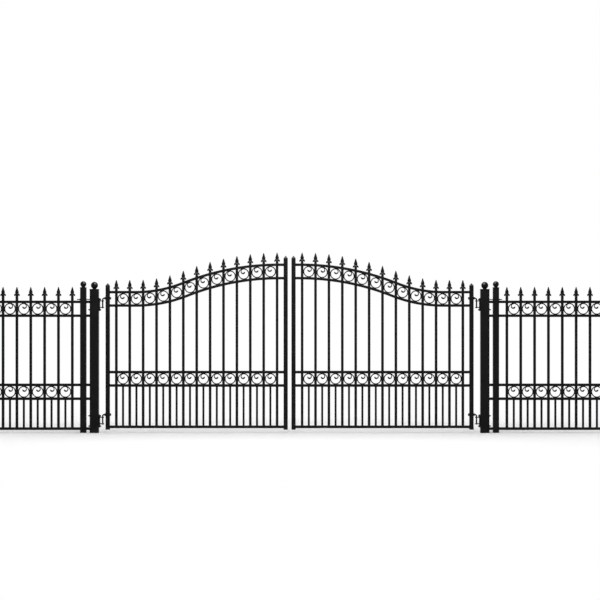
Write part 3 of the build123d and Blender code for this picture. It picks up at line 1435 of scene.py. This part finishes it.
@dataclass
class Rows:
    """The work that leaves and fences share: bars, spear heads, scroll rings and welds.

    Attributes:
        half: The side of the gate.
        sections: The sections of its bars.
        shop: The trees.
        paint: Where pieces are finished.
        body: The body that everything rides on.
        bead_radius: Radius of the weld beads.
        bead_corner: Radius of the beads' way round the corners of a bar's end.
        bead_seed: Seed of their unevenness, to which each side adds its direction.
        tack_reach: Half the length of the bead between a ring and a bar.
    """

    half: Half
    sections: Sections
    shop: Shop
    paint: PaintShop
    body: str
    bead_radius: float = 2.2 * MM
    bead_corner: float = 2 * MM
    bead_seed: int = 0
    tack_reach: float = 4 * MM

    def finish(self, name: str, mesh: bpy.types.Mesh, slot: Slot, *nodes: str) -> None:
        """Hand a mesh over to be painted.

        Args:
            name: The piece's name, without its side.
            mesh: The mesh.
            slot: The slot whose finish it gets.
            nodes: The nodes that it stands for.
        """
        replaced = [self.half.node(node) for node in nodes]
        self.paint.piece(self.half.node(name), mesh, slot, self.body, replaced)

    def bars(
        self, name: str, node: str, slot: Slot, lines: Iterable[Line], section: Section
    ) -> None:
        """A piece of bars along lines.

        Args:
            name: The piece's name, without its side.
            node: The node that it stands for.
            slot: The slot whose finish it gets.
            lines: The lines.
            section: The bars' section.
        """
        self.finish(name, self.shop.bar.bars(lines, section, slot), slot, node)

    def level(self, span: tuple[float, float], heights: Iterable[float]) -> list[Line]:
        """Level lines over one span, one at each height."""
        return [self.half.line([(out, z) for out in span]) for z in heights]

    def pickets(
        self, prefix: str, tops: Mapping[float, float], foot: float, short_top: float
    ) -> None:
        """Pickets with a spear head each, and a short picket between every two.

        Args:
            prefix: What the names of the pieces and their nodes start with.
            tops: For each picket its upper end.
            foot: Where pickets and short pickets stand.
            short_top: Upper end of the short pickets.
        """
        short = dict.fromkeys(bays(list(tops)), short_top)
        rows = (
            (f"{prefix}picket", tops, self.sections.picket),
            (f"{prefix}short_picket", short, self.sections.short_picket),
        )
        for kind, ends, section in rows:
            lines = [self.half.line([(out, foot), (out, top)]) for out, top in ends.items()]
            self.bars(f"{kind}_bars", f"{kind}s", Slot.PICKET, lines, section)
        points = [self.half.at(out, top) for out, top in tops.items()]
        heads = self.shop.copy.copies(SpearHead().mesh(), points, Slot.SPEAR)
        self.finish(f"{prefix}spear_heads", heads, Slot.SPEAR, f"{prefix}spears")

    def rings(self, name: str, node: str, scroll: Scroll, cells: Iterable[Cell]) -> None:
        """A scroll ring in every cell.

        Args:
            name: The piece's name, without its side.
            node: The node that it stands for.
            scroll: The ring.
            cells: The cells.
        """
        pattern = scroll.mesh(self.shop, self.half.side.value)
        points = [self.half.at(cell.out, cell.z) for cell in cells]
        mesh = self.shop.copy.copies(pattern, points, Slot.SCROLL)
        self.finish(name, mesh, Slot.SCROLL, node)

    def ring_tacks(self, scroll: Scroll, cells: Iterable[Cell]) -> list[Line]:
        """Tacks at the four sides of each ring.

        Args:
            scroll: The ring.
            cells: The cells that have one.

        Returns:
            Short lines along Y.
        """
        lines = []
        reach = scroll.cell / 2
        for out, z, slope in cells:
            for angle in (0.0, pi, pi / 2 + slope, -pi / 2 + slope):
                spot = self.half.at(out + reach * cos(angle), z + reach * sin(angle))
                lines.append(tack(spot, self.tack_reach))
        return lines

    def rail_ends(self, levels: Iterable[float], faces: Sequence[float]) -> list[Line]:
        """Loops round the ends of level rails.

        Args:
            levels: Heights of the rails.
            faces: How far out the faces are that they meet.

        Returns:
            A line for each end.
        """
        depth, height = self.sections.rail.depth / 2, self.sections.rail.thickness / 2
        ends = [self.half.at(face, z) for z in levels for face in faces]
        return [loop_round(end, depth, height, self.bead_corner) for end in ends]

    def feet(self, places: Sequence[float], level: float) -> list[Line]:
        """Loops round the feet of the pickets and of the short pickets between them.

        Args:
            places: How far out the pickets are.
            level: Height of their feet.

        Returns:
            A line for each foot.
        """
        rows = ((places, self.sections.picket), (bays(places), self.sections.short_picket))
        return [
            foot_loop(self.half.at(out, level), section.thickness / 2)
            for row, section in rows
            for out in row
        ]

    def welds(self, name: str, lines: Iterable[Line]) -> None:
        """One piece of all weld beads along some lines.

        Args:
            name: The piece's name, without its side.
            lines: The lines.
        """
        seed = self.bead_seed + self.half.side.value
        mesh = self.shop.bead.beads(lines, self.bead_radius, seed, Slot.RAIL)
        self.finish(name, mesh, Slot.RAIL)


@dataclass
class Leaf(Rows):
    """One leaf of the gate.

    Attributes:
        picket_count: How many pickets it has.
        crown_flat: From the meeting stile's middle to where the top rail starts to fall.
        shoulder_flat: From where it is level again to the hinge stile.
        stile_point: Height of the stiles' pointed tops.
        stile_tip: Size of a point's tip, as a share of the stile.
        stile_foot: Size of a stile's foot, as a share of the stile.
        stile_bend: Height of the short slopes that soften foot, point and tip.
        stile_hold: Length of tube under the point that keeps the shading of the rest even.
        stile_crease: How far under the point the tube's full size ends.
    """

    bead_seed: int = 11
    picket_count: int = 13
    crown_flat: float = 71 * MM
    shoulder_flat: float = 280.1 * MM
    stile_point: float = 26 * MM
    stile_tip: float = 0.075
    stile_foot: float = 0.96
    stile_bend: float = 1.5 * MM
    stile_hold: float = 8 * MM
    stile_crease: float = 0.2 * MM

    def __post_init__(self) -> None:
        """Read the leaf's places from its nodes."""
        half = self.half
        self.hinge_stile = half.extent("hinge_stile")
        self.meeting_stile = half.extent("meeting_stile")
        self.mid = half.extent("mid_rails")
        self.bottom = half.extent("bottom_rail")
        arched = half.extent("arch_rails")
        pickets = half.extent("pickets")
        inset = self.sections.picket.thickness / 2
        self.rail = self.sections.rail.thickness
        self.places = evenly(pickets.inner + inset, pickets.outer - inset, self.picket_count)
        self.pitch = self.places[1] - self.places[0]
        self.arch = Arch(
            crown_z=arched.top - self.rail / 2,
            shoulder_z=arched.bottom + self.rail / 2 + self.pitch,
            inner=arched.inner,
            outer=arched.outer,
            crown_x=self.meeting_stile.middle + self.crown_flat,
            shoulder_x=self.hinge_stile.inner - self.shoulder_flat,
        )
        rise = pickets.top - self.arch.height(self.places[0], 0)
        self.tops = {out: self.arch.height(out, 0) + rise for out in self.places}
        self.scroll = Scroll(self.pitch - self.rail, 1)

    def mid_levels(self) -> tuple[float, float]:
        """Heights of the two middle rails."""
        return self.mid.bottom + self.rail / 2, self.mid.top - self.rail / 2

    def middle_cells(self) -> list[Cell]:
        """The cells between the middle rails."""
        return [Cell(out, sum(self.mid_levels()) / 2) for out in bays(self.places)]

    def arched_cells(self) -> list[Cell]:
        """The cells between the arched rails."""
        drop, arch = self.pitch / 2, self.arch
        return [Cell(x, arch.height(x, drop), arch.slope(x, drop)) for x in bays(self.places)]

    def stiles(self) -> None:
        """The two square tubes with pointed tops."""
        bend, tip = self.stile_bend, self.stile_tip
        slant = (1 - tip) / self.stile_point
        for name, tube in (("hinge_stile", self.hinge_stile), ("meeting_stile", self.meeting_stile)):
            shoulder = tube.top - self.stile_point
            sizes = {
                tube.bottom: self.stile_foot,
                tube.bottom + bend: 1.0,
                shoulder - self.stile_hold: 1.0,
                shoulder - self.stile_crease: 1.0,
                shoulder + bend: 1 - slant * bend,
                tube.top - bend: tip + slant * bend,
                tube.top: tip,
            }
            line = self.half.line([(tube.middle, z) for z in sizes], swell=list(sizes.values()))
            self.bars(f"{name}_tube", name, Slot.TUBE, [line], self.sections.stile)

    def rails(self) -> None:
        """The arched, middle and bottom rails."""
        span = (self.mid.inner, self.mid.outer)
        arches = [self.half.line(self.arch.line(drop)) for drop in (0, self.pitch)]
        rows = (
            ("arched_bars", "arch_rails", arches),
            ("middle_bars", "mid_rails", self.level(span, self.mid_levels())),
            ("bottom_bar", "bottom_rail", self.level(span, [self.bottom.level])),
        )
        for name, node, lines in rows:
            self.bars(name, node, Slot.RAIL, lines, self.sections.rail)

    def infill(self) -> None:
        """Pickets, short pickets, spear heads and scroll rings."""
        self.pickets("", self.tops, self.bottom.top, self.mid.bottom)
        self.rings("arch_scrolls", "arch_rings", self.scroll, self.arched_cells())
        self.rings("middle_scrolls", "mid_rings", self.scroll, self.middle_cells())

    def weld(self) -> None:
        """Beads at the rails' ends, the pickets' feet and the rings' sides."""
        levels = [*self.mid_levels(), self.bottom.level]
        lines = self.rail_ends(levels, [self.mid.inner, self.mid.outer])
        for drop in (0, self.pitch):
            lines += self.rail_ends([self.arch.crown_z - drop], [self.arch.inner])
            lines += self.rail_ends([self.arch.shoulder_z - drop], [self.arch.outer])
        lines += self.feet(self.places, self.bottom.top)
        lines += self.ring_tacks(self.scroll, self.middle_cells() + self.arched_cells())
        self.welds("leaf_welds", lines)

    def build(self) -> None:
        """Make the whole leaf."""
        self.stiles()
        self.rails()
        self.infill()
        self.weld()


@dataclass
class Fence(Rows):
    """The length of fence on one side, with its posts and the links to the gate post.

    Attributes:
        picket_count: How many pickets it has.
    """

    bead_seed: int = 31
    picket_count: int = 8

    def __post_init__(self) -> None:
        """Read the fence's places from its nodes."""
        half = self.half
        rails = half.extent("fence_rails")
        self.first_post = half.extent("fence_post")
        self.end_post = half.extent("end_post")
        self.gate_post = half.extent("gate_post")
        pickets = half.extent("fence_pickets")
        inset = self.sections.picket.thickness / 2
        rail = self.sections.rail.thickness
        self.places = evenly(pickets.inner + inset, pickets.outer - inset, self.picket_count)
        self.pitch = self.places[1] - self.places[0]
        self.picket_top = pickets.top
        self.foot = rails.bottom + rail
        self.short_top = half.extent("fence_short_pickets").top
        top = rails.top - rail / 2
        lower_mid = self.short_top + rail / 2
        bottom = rails.bottom + rail / 2
        self.levels = [top, top - self.pitch, lower_mid + self.pitch, lower_mid, bottom]
        self.scroll = Scroll(self.pitch - rail, -1)
        self.spans = (
            (self.first_post.outer, self.end_post.inner),
            (self.gate_post.outer, self.first_post.inner),
        )

    def cells(self) -> list[Cell]:
        """The cells of the two rows of rings."""
        rows = (self.levels[0] - self.pitch / 2, self.levels[2] - self.pitch / 2)
        return [Cell(out, z) for z in rows for out in bays(self.places)]

    def posts(self) -> None:
        """The posts at both ends of the fence, and the gate post."""
        posts = (
            ("fence_post", self.first_post, self.sections.fence_post),
            ("end_post", self.end_post, self.sections.fence_post),
            ("gate_post", self.gate_post, self.sections.post),
        )
        for name, post, section in posts:
            line = self.half.line([(post.middle, post.bottom), (post.middle, post.top)])
            self.bars(f"{name}_tube", name, Slot.TUBE, [line], section)

    def rails(self) -> None:
        """Five rails along the fence, and five links between the two posts."""
        lines = [line for span in self.spans for line in self.level(span, self.levels)]
        self.bars("fence_bars", "fence_rails", Slot.RAIL, lines, self.sections.rail)

    def weld(self) -> None:
        """Beads at the rails' ends, the pickets' feet and the rings' sides."""
        lines = self.rail_ends(self.levels, [face for span in self.spans for face in span])
        lines += self.feet(self.places, self.foot)
        lines += self.ring_tacks(self.scroll, self.cells())
        self.welds("fence_welds", lines)

    def infill(self) -> None:
        """Pickets, short pickets, spear heads and scroll rings."""
        tops = dict.fromkeys(self.places, self.picket_top)
        self.pickets("fence_", tops, self.foot, self.short_top)
        self.rings("fence_scrolls", "fence_rings", self.scroll, self.cells())

    def build(self) -> None:
        """Make the fence."""
        self.posts()
        self.rails()
        self.weld()
        self.infill()


def across(x: float, reach: float, angle: float) -> Vector:
    """A point in the plane across X at x, at an angle and a distance from the X axis."""
    return Vector((x, reach * cos(angle), reach * sin(angle)))


def left_first(place: Vector) -> float:
    """Where a place lies along the gate, from the left."""
    return place.x


@dataclass(frozen=True)
class Rod:
    """A rod that two nuts hold, each against a face that looks away from the other's.

    Attributes:
        line: The rod's middle.
        z: Height of its nuts.
        faces: How far out the two faces are, the inner one first.
        thread_start: How far out the thread begins.
        thread_length: How far it runs outwards from there.
    """

    line: Line
    z: float
    faces: tuple[float, float]
    thread_start: float
    thread_length: float


@dataclass(frozen=True)
class Fastener:
    """A size of rod, with its nuts, washers and thread.

    Attributes:
        radius: The rod's radius.
        steps: Flats in a quarter of its round.
        end: Length of a rod's softened end.
        nut_flats: A nut's width across flats.
        nut_thickness: Its thickness.
        washer_radius: A washer's radius.
        washer_thickness: Its thickness.
        pitch: From one ridge of the thread to the next.
        end_size: Size of a rod's very end, as a share of the rod.
        chamfer: Depth of a nut's chamfer, as a share of half its width.
        chamfered: Size of its corners at both ends, as a share of whole ones.
        washer_sides: Flats round a washer.
    """

    radius: float
    steps: int
    end: float
    nut_flats: float
    nut_thickness: float
    washer_radius: float
    washer_thickness: float
    pitch: float
    end_size: float = 0.8
    chamfer: float = 0.12
    chamfered: float = 0.9
    washer_sides: int = 20

    def nut_outline(self, x: float, share: float) -> list[Vector]:
        """A nut's outline in a plane across X.

        Args:
            x: Place along X.
            share: Size of the corners, 1 where they are whole.

        Returns:
            Twelve points: corners and middles of the flats.
        """
        flat = self.nut_flats / 2
        reaches = (flat / cos(pi / 6) * share, flat)
        return [across(x, reaches[i % 2], pi * i / 6) for i in range(12)]

    def nut(self) -> bpy.types.Mesh:
        """A nut about the origin, lying along X, with chamfered corners.

        Returns:
            Its mesh.
        """
        end = self.nut_thickness / 2
        edge = end - self.chamfer * self.nut_flats / 2
        levels = ((-end, self.chamfered), (-edge, 1.0), (edge, 1.0), (end, self.chamfered))
        return solid_mesh([[self.nut_outline(x, share) for x, share in levels]])

    def washer(self) -> bpy.types.Mesh:
        """A washer about the origin, lying along X, with a softened rim.

        Returns:
            Its mesh.
        """
        end, rim = self.washer_thickness / 2, self.washer_thickness / 4
        full = self.washer_radius
        levels = ((-end, full - rim), (rim - end, full), (end - rim, full), (end, full - rim))
        angles = [2 * pi * i / self.washer_sides for i in range(self.washer_sides)]
        return solid_mesh([[[across(x, reach, a) for a in angles] for x, reach in levels]])

    def mesh(self, shop: Shop, half: Half, rods: Sequence[Rod]) -> bpy.types.Mesh:
        """Rods with everything that is screwed on them.

        Args:
            shop: The trees.
            half: The side of the gate.
            rods: The rods.

        Returns:
            One mesh.
        """
        bar = Section(2 * self.radius, 2 * self.radius, self.radius, self.steps)
        meshes = [shop.bar.bars([rod.line for rod in rods], bar, Slot.HINGE)]
        seats = [(face, way, rod.z) for rod in rods for face, way in zip(rod.faces, (-1, 1))]
        kinds = ((self.nut(), self.nut_thickness), (self.washer(), self.washer_thickness))
        for pattern, thickness in kinds:
            points = [half.at(face + way * thickness / 2, z) for face, way, z in seats]
            meshes.append(shop.copy.copies(pattern, points, Slot.HINGE))
        for rod in rods:
            length = rod.thread_length
            ends = [half.at(rod.thread_start + reach, rod.z) for reach in (0, length)]
            start = min(ends, key=left_first)
            meshes.append(shop.screw.thread(start, self.radius, length, self.pitch, Slot.HINGE))
        return joined(meshes)


@dataclass
class Hinges(Rows):
    """The two hinges of one leaf: plates with lugs on the post, and bent pins in the stile.

    Attributes:
        pin: The pins' size, with their nuts.
        bolt: The bolts' size, with their nuts.
        plate_height: Height of a plate.
        plate_width: Its width along Y.
        plate_thickness: How far it stands off the post.
        plate_corner: Radius of its upright edges.
        plate_end: Height of its softened ends.
        plate_end_size: Size of its very ends, as a share of the plate.
        lug_radius: Radius of a lug's round end.
        lug_thickness: Height of a lug.
        lug_offsets: Where the two lugs sit, from the plate's middle.
        lug_rim: Height and depth of the softened rim of a lug.
        lug_root: How deep a lug is let into the plate.
        lug_steps: Flats of a lug's round end.
        arm_offset: Height of a pin's level arm over the plate's middle.
        bend_radius: Radius of a pin's bend.
        bend_steps: Steps of the bend.
        pin_tail: How far a pin reaches below its lower lug.
        pin_thread: How far it reaches past its inner nut.
        bolt_offset: From the plate's middle to each bolt.
        bolt_thread: How far a bolt reaches past its outer nut.
        tie_thread: How far the tie rod does.
    """

    bead_corner: float = 1.5 * MM
    bead_seed: int = 51
    pin: Fastener = Fastener(
        radius=8 * MM,
        steps=5,
        end=1.5 * MM,
        nut_flats=28 * MM,
        nut_thickness=12 * MM,
        washer_radius=17.5 * MM,
        washer_thickness=2 * MM,
        pitch=2 * MM,
    )
    bolt: Fastener = Fastener(
        radius=5 * MM,
        steps=4,
        end=1 * MM,
        nut_flats=17 * MM,
        nut_thickness=10 * MM,
        washer_radius=10.5 * MM,
        washer_thickness=1.5 * MM,
        pitch=1.5 * MM,
    )
    plate_height: float = 138 * MM
    plate_width: float = 44 * MM
    plate_thickness: float = 13 * MM
    plate_corner: float = 1.6 * MM
    plate_end: float = 1.2 * MM
    plate_end_size: float = 0.93
    lug_radius: float = 16 * MM
    lug_thickness: float = 10 * MM
    lug_offsets: tuple[float, float] = (-30 * MM, 39 * MM)
    lug_rim: float = 1.2 * MM
    lug_root: float = 1 * MM
    lug_steps: int = 12
    arm_offset: float = 68 * MM
    bend_radius: float = 18 * MM
    bend_steps: int = 8
    pin_tail: float = 5 * MM
    pin_thread: float = 3 * MM
    bolt_offset: float = 55 * MM
    bolt_thread: float = 9 * MM
    tie_thread: float = 25 * MM

    def __post_init__(self) -> None:
        """Read the hinges' places from their nodes."""
        half = self.half
        plates = half.extent("hinge_brackets")
        self.plate_middle = plates.outer - self.plate_thickness / 2
        self.plate_face = plates.outer - self.plate_thickness
        self.pin_out = plates.inner + self.lug_radius
        self.centres = (plates.bottom + self.plate_height / 2, plates.top - self.plate_height / 2)
        self.lugs = [z + offset for z in self.centres for offset in self.lug_offsets]
        self.stile = half.extent("hinge_stile")
        self.gate_post = half.extent("gate_post")
        self.fence_post = half.extent("fence_post")

    def plates(self) -> None:
        """The plates with their lugs."""
        reach, end, small = self.plate_height / 2, self.plate_end, self.plate_end_size
        sizes = {-reach: small, end - reach: 1.0, reach - end: 1.0, reach: small}
        swell = list(sizes.values())
        lines = [
            self.half.line([(self.plate_middle, z + level) for level in sizes], swell=swell)
            for z in self.centres
        ]
        section = Section(self.plate_thickness, self.plate_width, self.plate_corner)
        plates = self.shop.bar.bars(lines, section, Slot.HINGE)
        mesh = joined([plates, solid_mesh([self.lug(z) for z in self.lugs])])
        self.finish("hinge_plates", mesh, Slot.HINGE, "hinge_brackets")

    def lug(self, z: float) -> list[list[Vector]]:
        """One lug: flat, with a round end about the pin.

        Args:
            z: Height of its middle.

        Returns:
            Its outlines, from the bottom up.
        """
        root = self.plate_face + self.lug_root
        half, rim = self.lug_thickness / 2, self.lug_rim
        rows = []
        for level, inset in ((-half, rim), (rim - half, 0), (half - rim, 0), (half, rim)):
            radius = self.lug_radius - inset
            end = arc((self.pin_out, 0), radius, 90, 270, self.lug_steps)
            outline = [(root, radius)] + end + [(root, -radius)]
            rows.append([self.half.at(out, z + level, y) for out, y in outline])
        return rows

    def bolts(self) -> None:
        """The bolts through the post, the top one a tie rod through the fence post as well."""
        levels = [z + way * self.bolt_offset for z in self.centres for way in (-1, 1)]
        head = self.plate_face - self.bolt.nut_thickness / 2
        rods = []
        for z in levels:
            tie = z == max(levels)
            far = self.fence_post.outer if tie else self.gate_post.outer
            thread = self.tie_thread if tie else self.bolt_thread
            tip = far + self.bolt.nut_thickness + thread
            places = [(head, z), (tip - self.bolt.end, z), (tip, z)]
            line = self.half.line(places, swell=[1.0, 1.0, self.bolt.end_size])
            rods.append(Rod(line, z, (self.plate_face, far), tip - thread, thread))
        mesh = self.bolt.mesh(self.shop, self.half, rods)
        self.finish("bracket_bolt_rods", mesh, Slot.HINGE, "bracket_bolts")

    def weld(self) -> None:
        """Beads where the lugs meet the plates."""
        roots = [self.half.at(self.plate_face, z) for z in self.lugs]
        width, height = self.lug_radius, self.lug_thickness / 2
        lines = [loop_round(root, width, height, self.bead_corner) for root in roots]
        self.welds("lug_welds", lines)

    def pins(self, leaf: Leaf) -> None:
        """The bent pins, with nuts and washers on both sides of the stile.

        Args:
            leaf: The leaf that they ride with.
        """
        low = self.lug_offsets[0] - self.lug_thickness / 2 - self.pin_tail
        tip = self.stile.inner - self.pin.nut_thickness - self.pin_thread
        end, small = self.pin.end, self.pin.end_size
        rods = []
        for z in self.centres:
            arm = z + self.arm_offset
            centre = (self.pin_out - self.bend_radius, arm - self.bend_radius)
            places = [(self.pin_out, z + low), (self.pin_out, z + low + end)]
            places += arc(centre, self.bend_radius, 0, 90, self.bend_steps)
            places += [(tip + end, arm), (tip, arm)]
            swell = [small] + [1.0] * (len(places) - 2) + [small]
            faces = (self.stile.inner, self.stile.outer)
            line = self.half.line(places, swell=swell)
            rods.append(Rod(line, arm, faces, tip, self.pin_thread))
        mesh = self.pin.mesh(self.shop, self.half, rods)
        leaf.finish("hinge_pin_rods", mesh, Slot.HINGE, "hinge_pins")

    def build(self, leaf: Leaf) -> None:
        """Make the hinges, with the pins as part of the leaf.

        Args:
            leaf: The leaf that hangs on them.
        """
        self.plates()
        self.bolts()
        self.weld()
        self.pins(leaf)


@dataclass(frozen=True)
class BallCap:
    """A cap plate with a ball standing on it in a short collar.

    Attributes:
        plate: Side of the square plate.
        plate_thickness: Its thickness.
        ball_radius: The ball's radius.
        collar_radius: The collar's radius.
        plate_corner: Radius of the plate's upright edges.
        plate_edge: Height of the softened edges at its top and bottom.
        collar: The collar's outline in millimetres, out from its radius and up from the plate.
        ball_start: Latitude where the ball leaves the collar, in degrees.
        ball_end: Latitude of the small flat that closes its top.
        bands: Bands of faces between the two.
        sides: Faces round the cap.
    """

    plate: float
    plate_thickness: float
    ball_radius: float
    collar_radius: float
    plate_corner: float = 4 * MM
    plate_edge: float = 1.5 * MM
    collar: tuple[tuple[float, float], ...] = (
        (4.0, -1.0),
        (4.0, 0.8),
        (2.6, 2.0),
        (0.0, 3.4),
        (-0.5, 5.4),
        (0.0, 8.0),
    )
    ball_start: float = -53.0
    ball_end: float = 88.0
    bands: int = 22
    sides: int = 36

    def outline(self) -> list[tuple[float, float]]:
        """Half outline of collar and ball, from the plate's top to the ball's top.

        Returns:
            Points, as distance from the middle and height over the plate.
        """
        collar = [(self.collar_radius + out * MM, up * MM) for out, up in self.collar]
        centre = (0, self.ball_radius)
        return collar + arc(centre, self.ball_radius, self.ball_start, self.ball_end, self.bands)

    def mesh(self, shop: Shop, foot: Vector) -> bpy.types.Mesh:
        """The cap on its post.

        Args:
            shop: The trees.
            foot: Middle of the post's top.

        Returns:
            One mesh.
        """
        t, edge = self.plate_thickness, self.plate_edge
        inset = 1 - 2 * edge / self.plate
        sizes = {0: inset, edge: 1.0, t - edge: 1.0, t: inset}
        line = Line([foot + Vector((0, 0, z)) for z in sizes], False, list(sizes.values()))
        section = Section(self.plate, self.plate, self.plate_corner, steps=3)
        angles = [2 * pi * i / self.sides for i in range(self.sides)]
        rings = [
            [foot + Vector((r * cos(a), r * sin(a), t + z)) for a in angles]
            for r, z in self.outline()
        ]
        return joined([shop.bar.bars([line], section, Slot.CAP), solid_mesh([rings])])


def ball_caps(halves: Sequence[Half], shop: Shop, paint: PaintShop) -> None:
    """The ball caps of all posts.

    Args:
        halves: Both sides of the gate.
        shop: The trees.
        paint: Where pieces are finished.
    """
    gate_cap = BallCap(
        plate=100 * MM, plate_thickness=10 * MM, ball_radius=38.5 * MM, collar_radius=20.5 * MM
    )
    fence_cap = BallCap(
        plate=70 * MM, plate_thickness=8 * MM, ball_radius=33 * MM, collar_radius=18.5 * MM
    )
    rows = (
        ("gate_ball_caps", "gate_post_caps", gate_cap, ("gate_post",)),
        ("fence_ball_caps", "fence_post_caps", fence_cap, ("fence_post", "end_post")),
    )
    for name, node, cap, posts in rows:
        tubes = [(half, half.extent(post)) for half in halves for post in posts]
        meshes = [cap.mesh(shop, half.at(tube.middle, tube.top)) for half, tube in tubes]
        paint.piece(name, joined(meshes), Slot.CAP, POSTS, [node], edge_angle=30.0)


# The studio


@dataclass(frozen=True)
class Lamp:
    """A rectangular lamp above the gate's centre line.

    Attributes:
        name: Its name.
        place: Its Y and Z.
        size: Its width and length.
        power: Its power in watts.
        gloss_only: Whether it shows in reflections only, as the bright part of a sky does.
        aim: Height of the place in the gate that it is turned to.
    """

    name: str
    place: tuple[float, float]
    size: tuple[float, float]
    power: float
    gloss_only: bool = False
    aim: float = 0.9

    def hang(self, centre: float) -> None:
        """Hang the lamp, turned to the gate.

        Args:
            centre: X of the gate's centre line.
        """
        data = bpy.data.lights.new(self.name, "AREA")
        data.shape = "RECTANGLE"
        data.size, data.size_y = self.size
        data.energy = self.power
        lamp = placed(self.name, data)
        lamp.location = (centre, *self.place)
        turn = Vector((centre, 0, self.aim)) - lamp.location
        lamp.rotation_mode = "QUATERNION"
        lamp.rotation_quaternion = turn.to_track_quat("-Z", "Y")
        lamp.visible_camera = False
        lamp.visible_diffuse = not self.gloss_only


@dataclass(frozen=True)
class Studio:
    """A pale floor, soft light and the photograph's viewpoint.

    Attributes:
        photo_scale: Metres of the gate to a pixel of the photograph.
        ground_row: Row of the photograph where the gate stands.
        centre_column: Column of its centre line.
        distance: From the camera to the gate.
        sensor: Width of the camera's sensor.
        view_reach: How far the camera sees.
        floor_reach: From the gate's centre to the floor's edge.
        floor_colour: How pale the floor is.
        floor_fade: Where the floor begins to turn plain white, and where it is so.
        sky: Strength of the light from all around.
        lamps: The lamps.
    """

    photo_scale: float = 10.7 * MM
    ground_row: float = 432.8
    centre_column: float = 289.6
    distance: float = 24.0
    sensor: float = 36.0
    view_reach: float = 500.0
    floor_reach: float = 90.0
    floor_colour: float = 0.9
    floor_fade: tuple[float, float] = (2.2, 7.0)
    sky: float = 0.8
    lamps: tuple[Lamp, ...] = (
        Lamp("key", (-5.0, 5.6), (3.0, 1.2), 200.0),
        Lamp("back", (6.5, 5.0), (8.0, 2.0), 120.0),
        Lamp("gleam", (-1.4, 4.6), (4.6, 2.6), 1100.0, gloss_only=True),
    )

    def camera(self, centre: float) -> None:
        """The camera: level, head-on, from the road.

        Args:
            centre: X of the gate's centre line.
        """
        data = bpy.data.cameras.new("camera")
        data.type = "PERSP"
        data.sensor_width = self.sensor
        data.lens = self.sensor * self.distance / (PHOTO_SIDE * self.photo_scale)
        data.clip_end = self.view_reach
        camera = placed("camera", data)
        middle = PHOTO_SIDE / 2
        camera.location = (
            centre + (middle - self.centre_column) * self.photo_scale,
            -self.distance,
            (self.ground_row - middle) * self.photo_scale,
        )
        camera.rotation_euler = (pi / 2, 0, 0)
        bpy.context.scene.camera = camera

    def floor(self, centre: float) -> None:
        """A pale floor that takes the gate's shadow and turns plain white far away.

        Args:
            centre: X of the gate's centre line.
        """
        mesh = bpy.data.meshes.new("floor")
        corners = [(centre + x * self.floor_reach, y * self.floor_reach, 0) for x, y in CORNERS]
        mesh.from_pydata(corners, [], [(0, 1, 2, 3)])
        material = bpy.data.materials.new("floor")
        mesh.materials.append(material)
        nodes = fresh_nodes(material)
        place = nodes.node("ShaderNodeTexCoord", {}, {}, output="Object")
        moved = {0: place, 1: (-centre, 0, 0)}
        from_gate = nodes.node("ShaderNodeVectorMath", {"operation": "ADD"}, moved)
        length = {"operation": "LENGTH"}
        away = nodes.node("ShaderNodeVectorMath", length, {0: from_gate}, output="Value")
        share = away.rise(*self.floor_fade) * seen_ray(nodes)
        matt = nodes.node("ShaderNodeBsdfDiffuse", {}, {"Color": opaque([self.floor_colour] * 3)})
        glow = nodes.node("ShaderNodeEmission", {}, {"Color": WHITE, "Strength": 1.0})
        faded = nodes.node("ShaderNodeMixShader", {}, {0: share, 1: matt, 2: glow})
        nodes.node("ShaderNodeOutputMaterial", {}, {"Surface": faded})
        placed("floor", mesh)

    def light(self, centre: float) -> None:
        """A sky that looks white and lights softly, and the lamps.

        Args:
            centre: X of the gate's centre line.
        """
        world = bpy.data.worlds.new("studio")
        nodes = fresh_nodes(world)
        strength = self.sky + seen_ray(nodes) * (1 - self.sky)
        sky = nodes.node("ShaderNodeBackground", {}, {"Color": WHITE, "Strength": strength})
        nodes.node("ShaderNodeOutputWorld", {}, {"Surface": sky})
        bpy.context.scene.world = world
        for lamp in self.lamps:
            lamp.hang(centre)


def seen_ray(nodes: NodeMaker) -> Wire:
    """1 for rays from the camera, and for those that metal or glass sends on.

    Args:
        nodes: The nodes of a material or the world.

    Returns:
        1 or 0.
    """
    camera = nodes.node("ShaderNodeLightPath", {}, {}, output="Is Camera Ray")
    return (camera + camera.other("Is Glossy Ray") + camera.other("Is Transmission Ray")).clamped()


def main() -> None:
    """Build the gate, the studio and the camera."""
    logging.basicConfig(level=logging.INFO, format="%(name)s: %(message)s")
    bpy.context.scene.view_settings.view_transform = "Standard"
    lows, highs = zip(*(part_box(f"{side.word}_gate_post") for side in Side))
    centre = (min(low.x for low in lows) + max(high.x for high in highs)) / 2
    paint = PaintShop(FINISHES)
    shop = Shop(paint.materials)
    halves = [Half(side, centre) for side in Side]
    for half in halves:
        sections = Sections.read(half)
        leaf = Leaf(half, sections, shop, paint, half.leaf_body)
        leaf.build()
        Fence(half, sections, shop, paint, POSTS).build()
        Hinges(half, sections, shop, paint, POSTS).build(leaf)
    ball_caps(halves, shop, paint)
    studio = Studio()
    studio.camera(centre)
    studio.floor(centre)
    studio.light(centre)


if __name__ == "__main__":
    main()
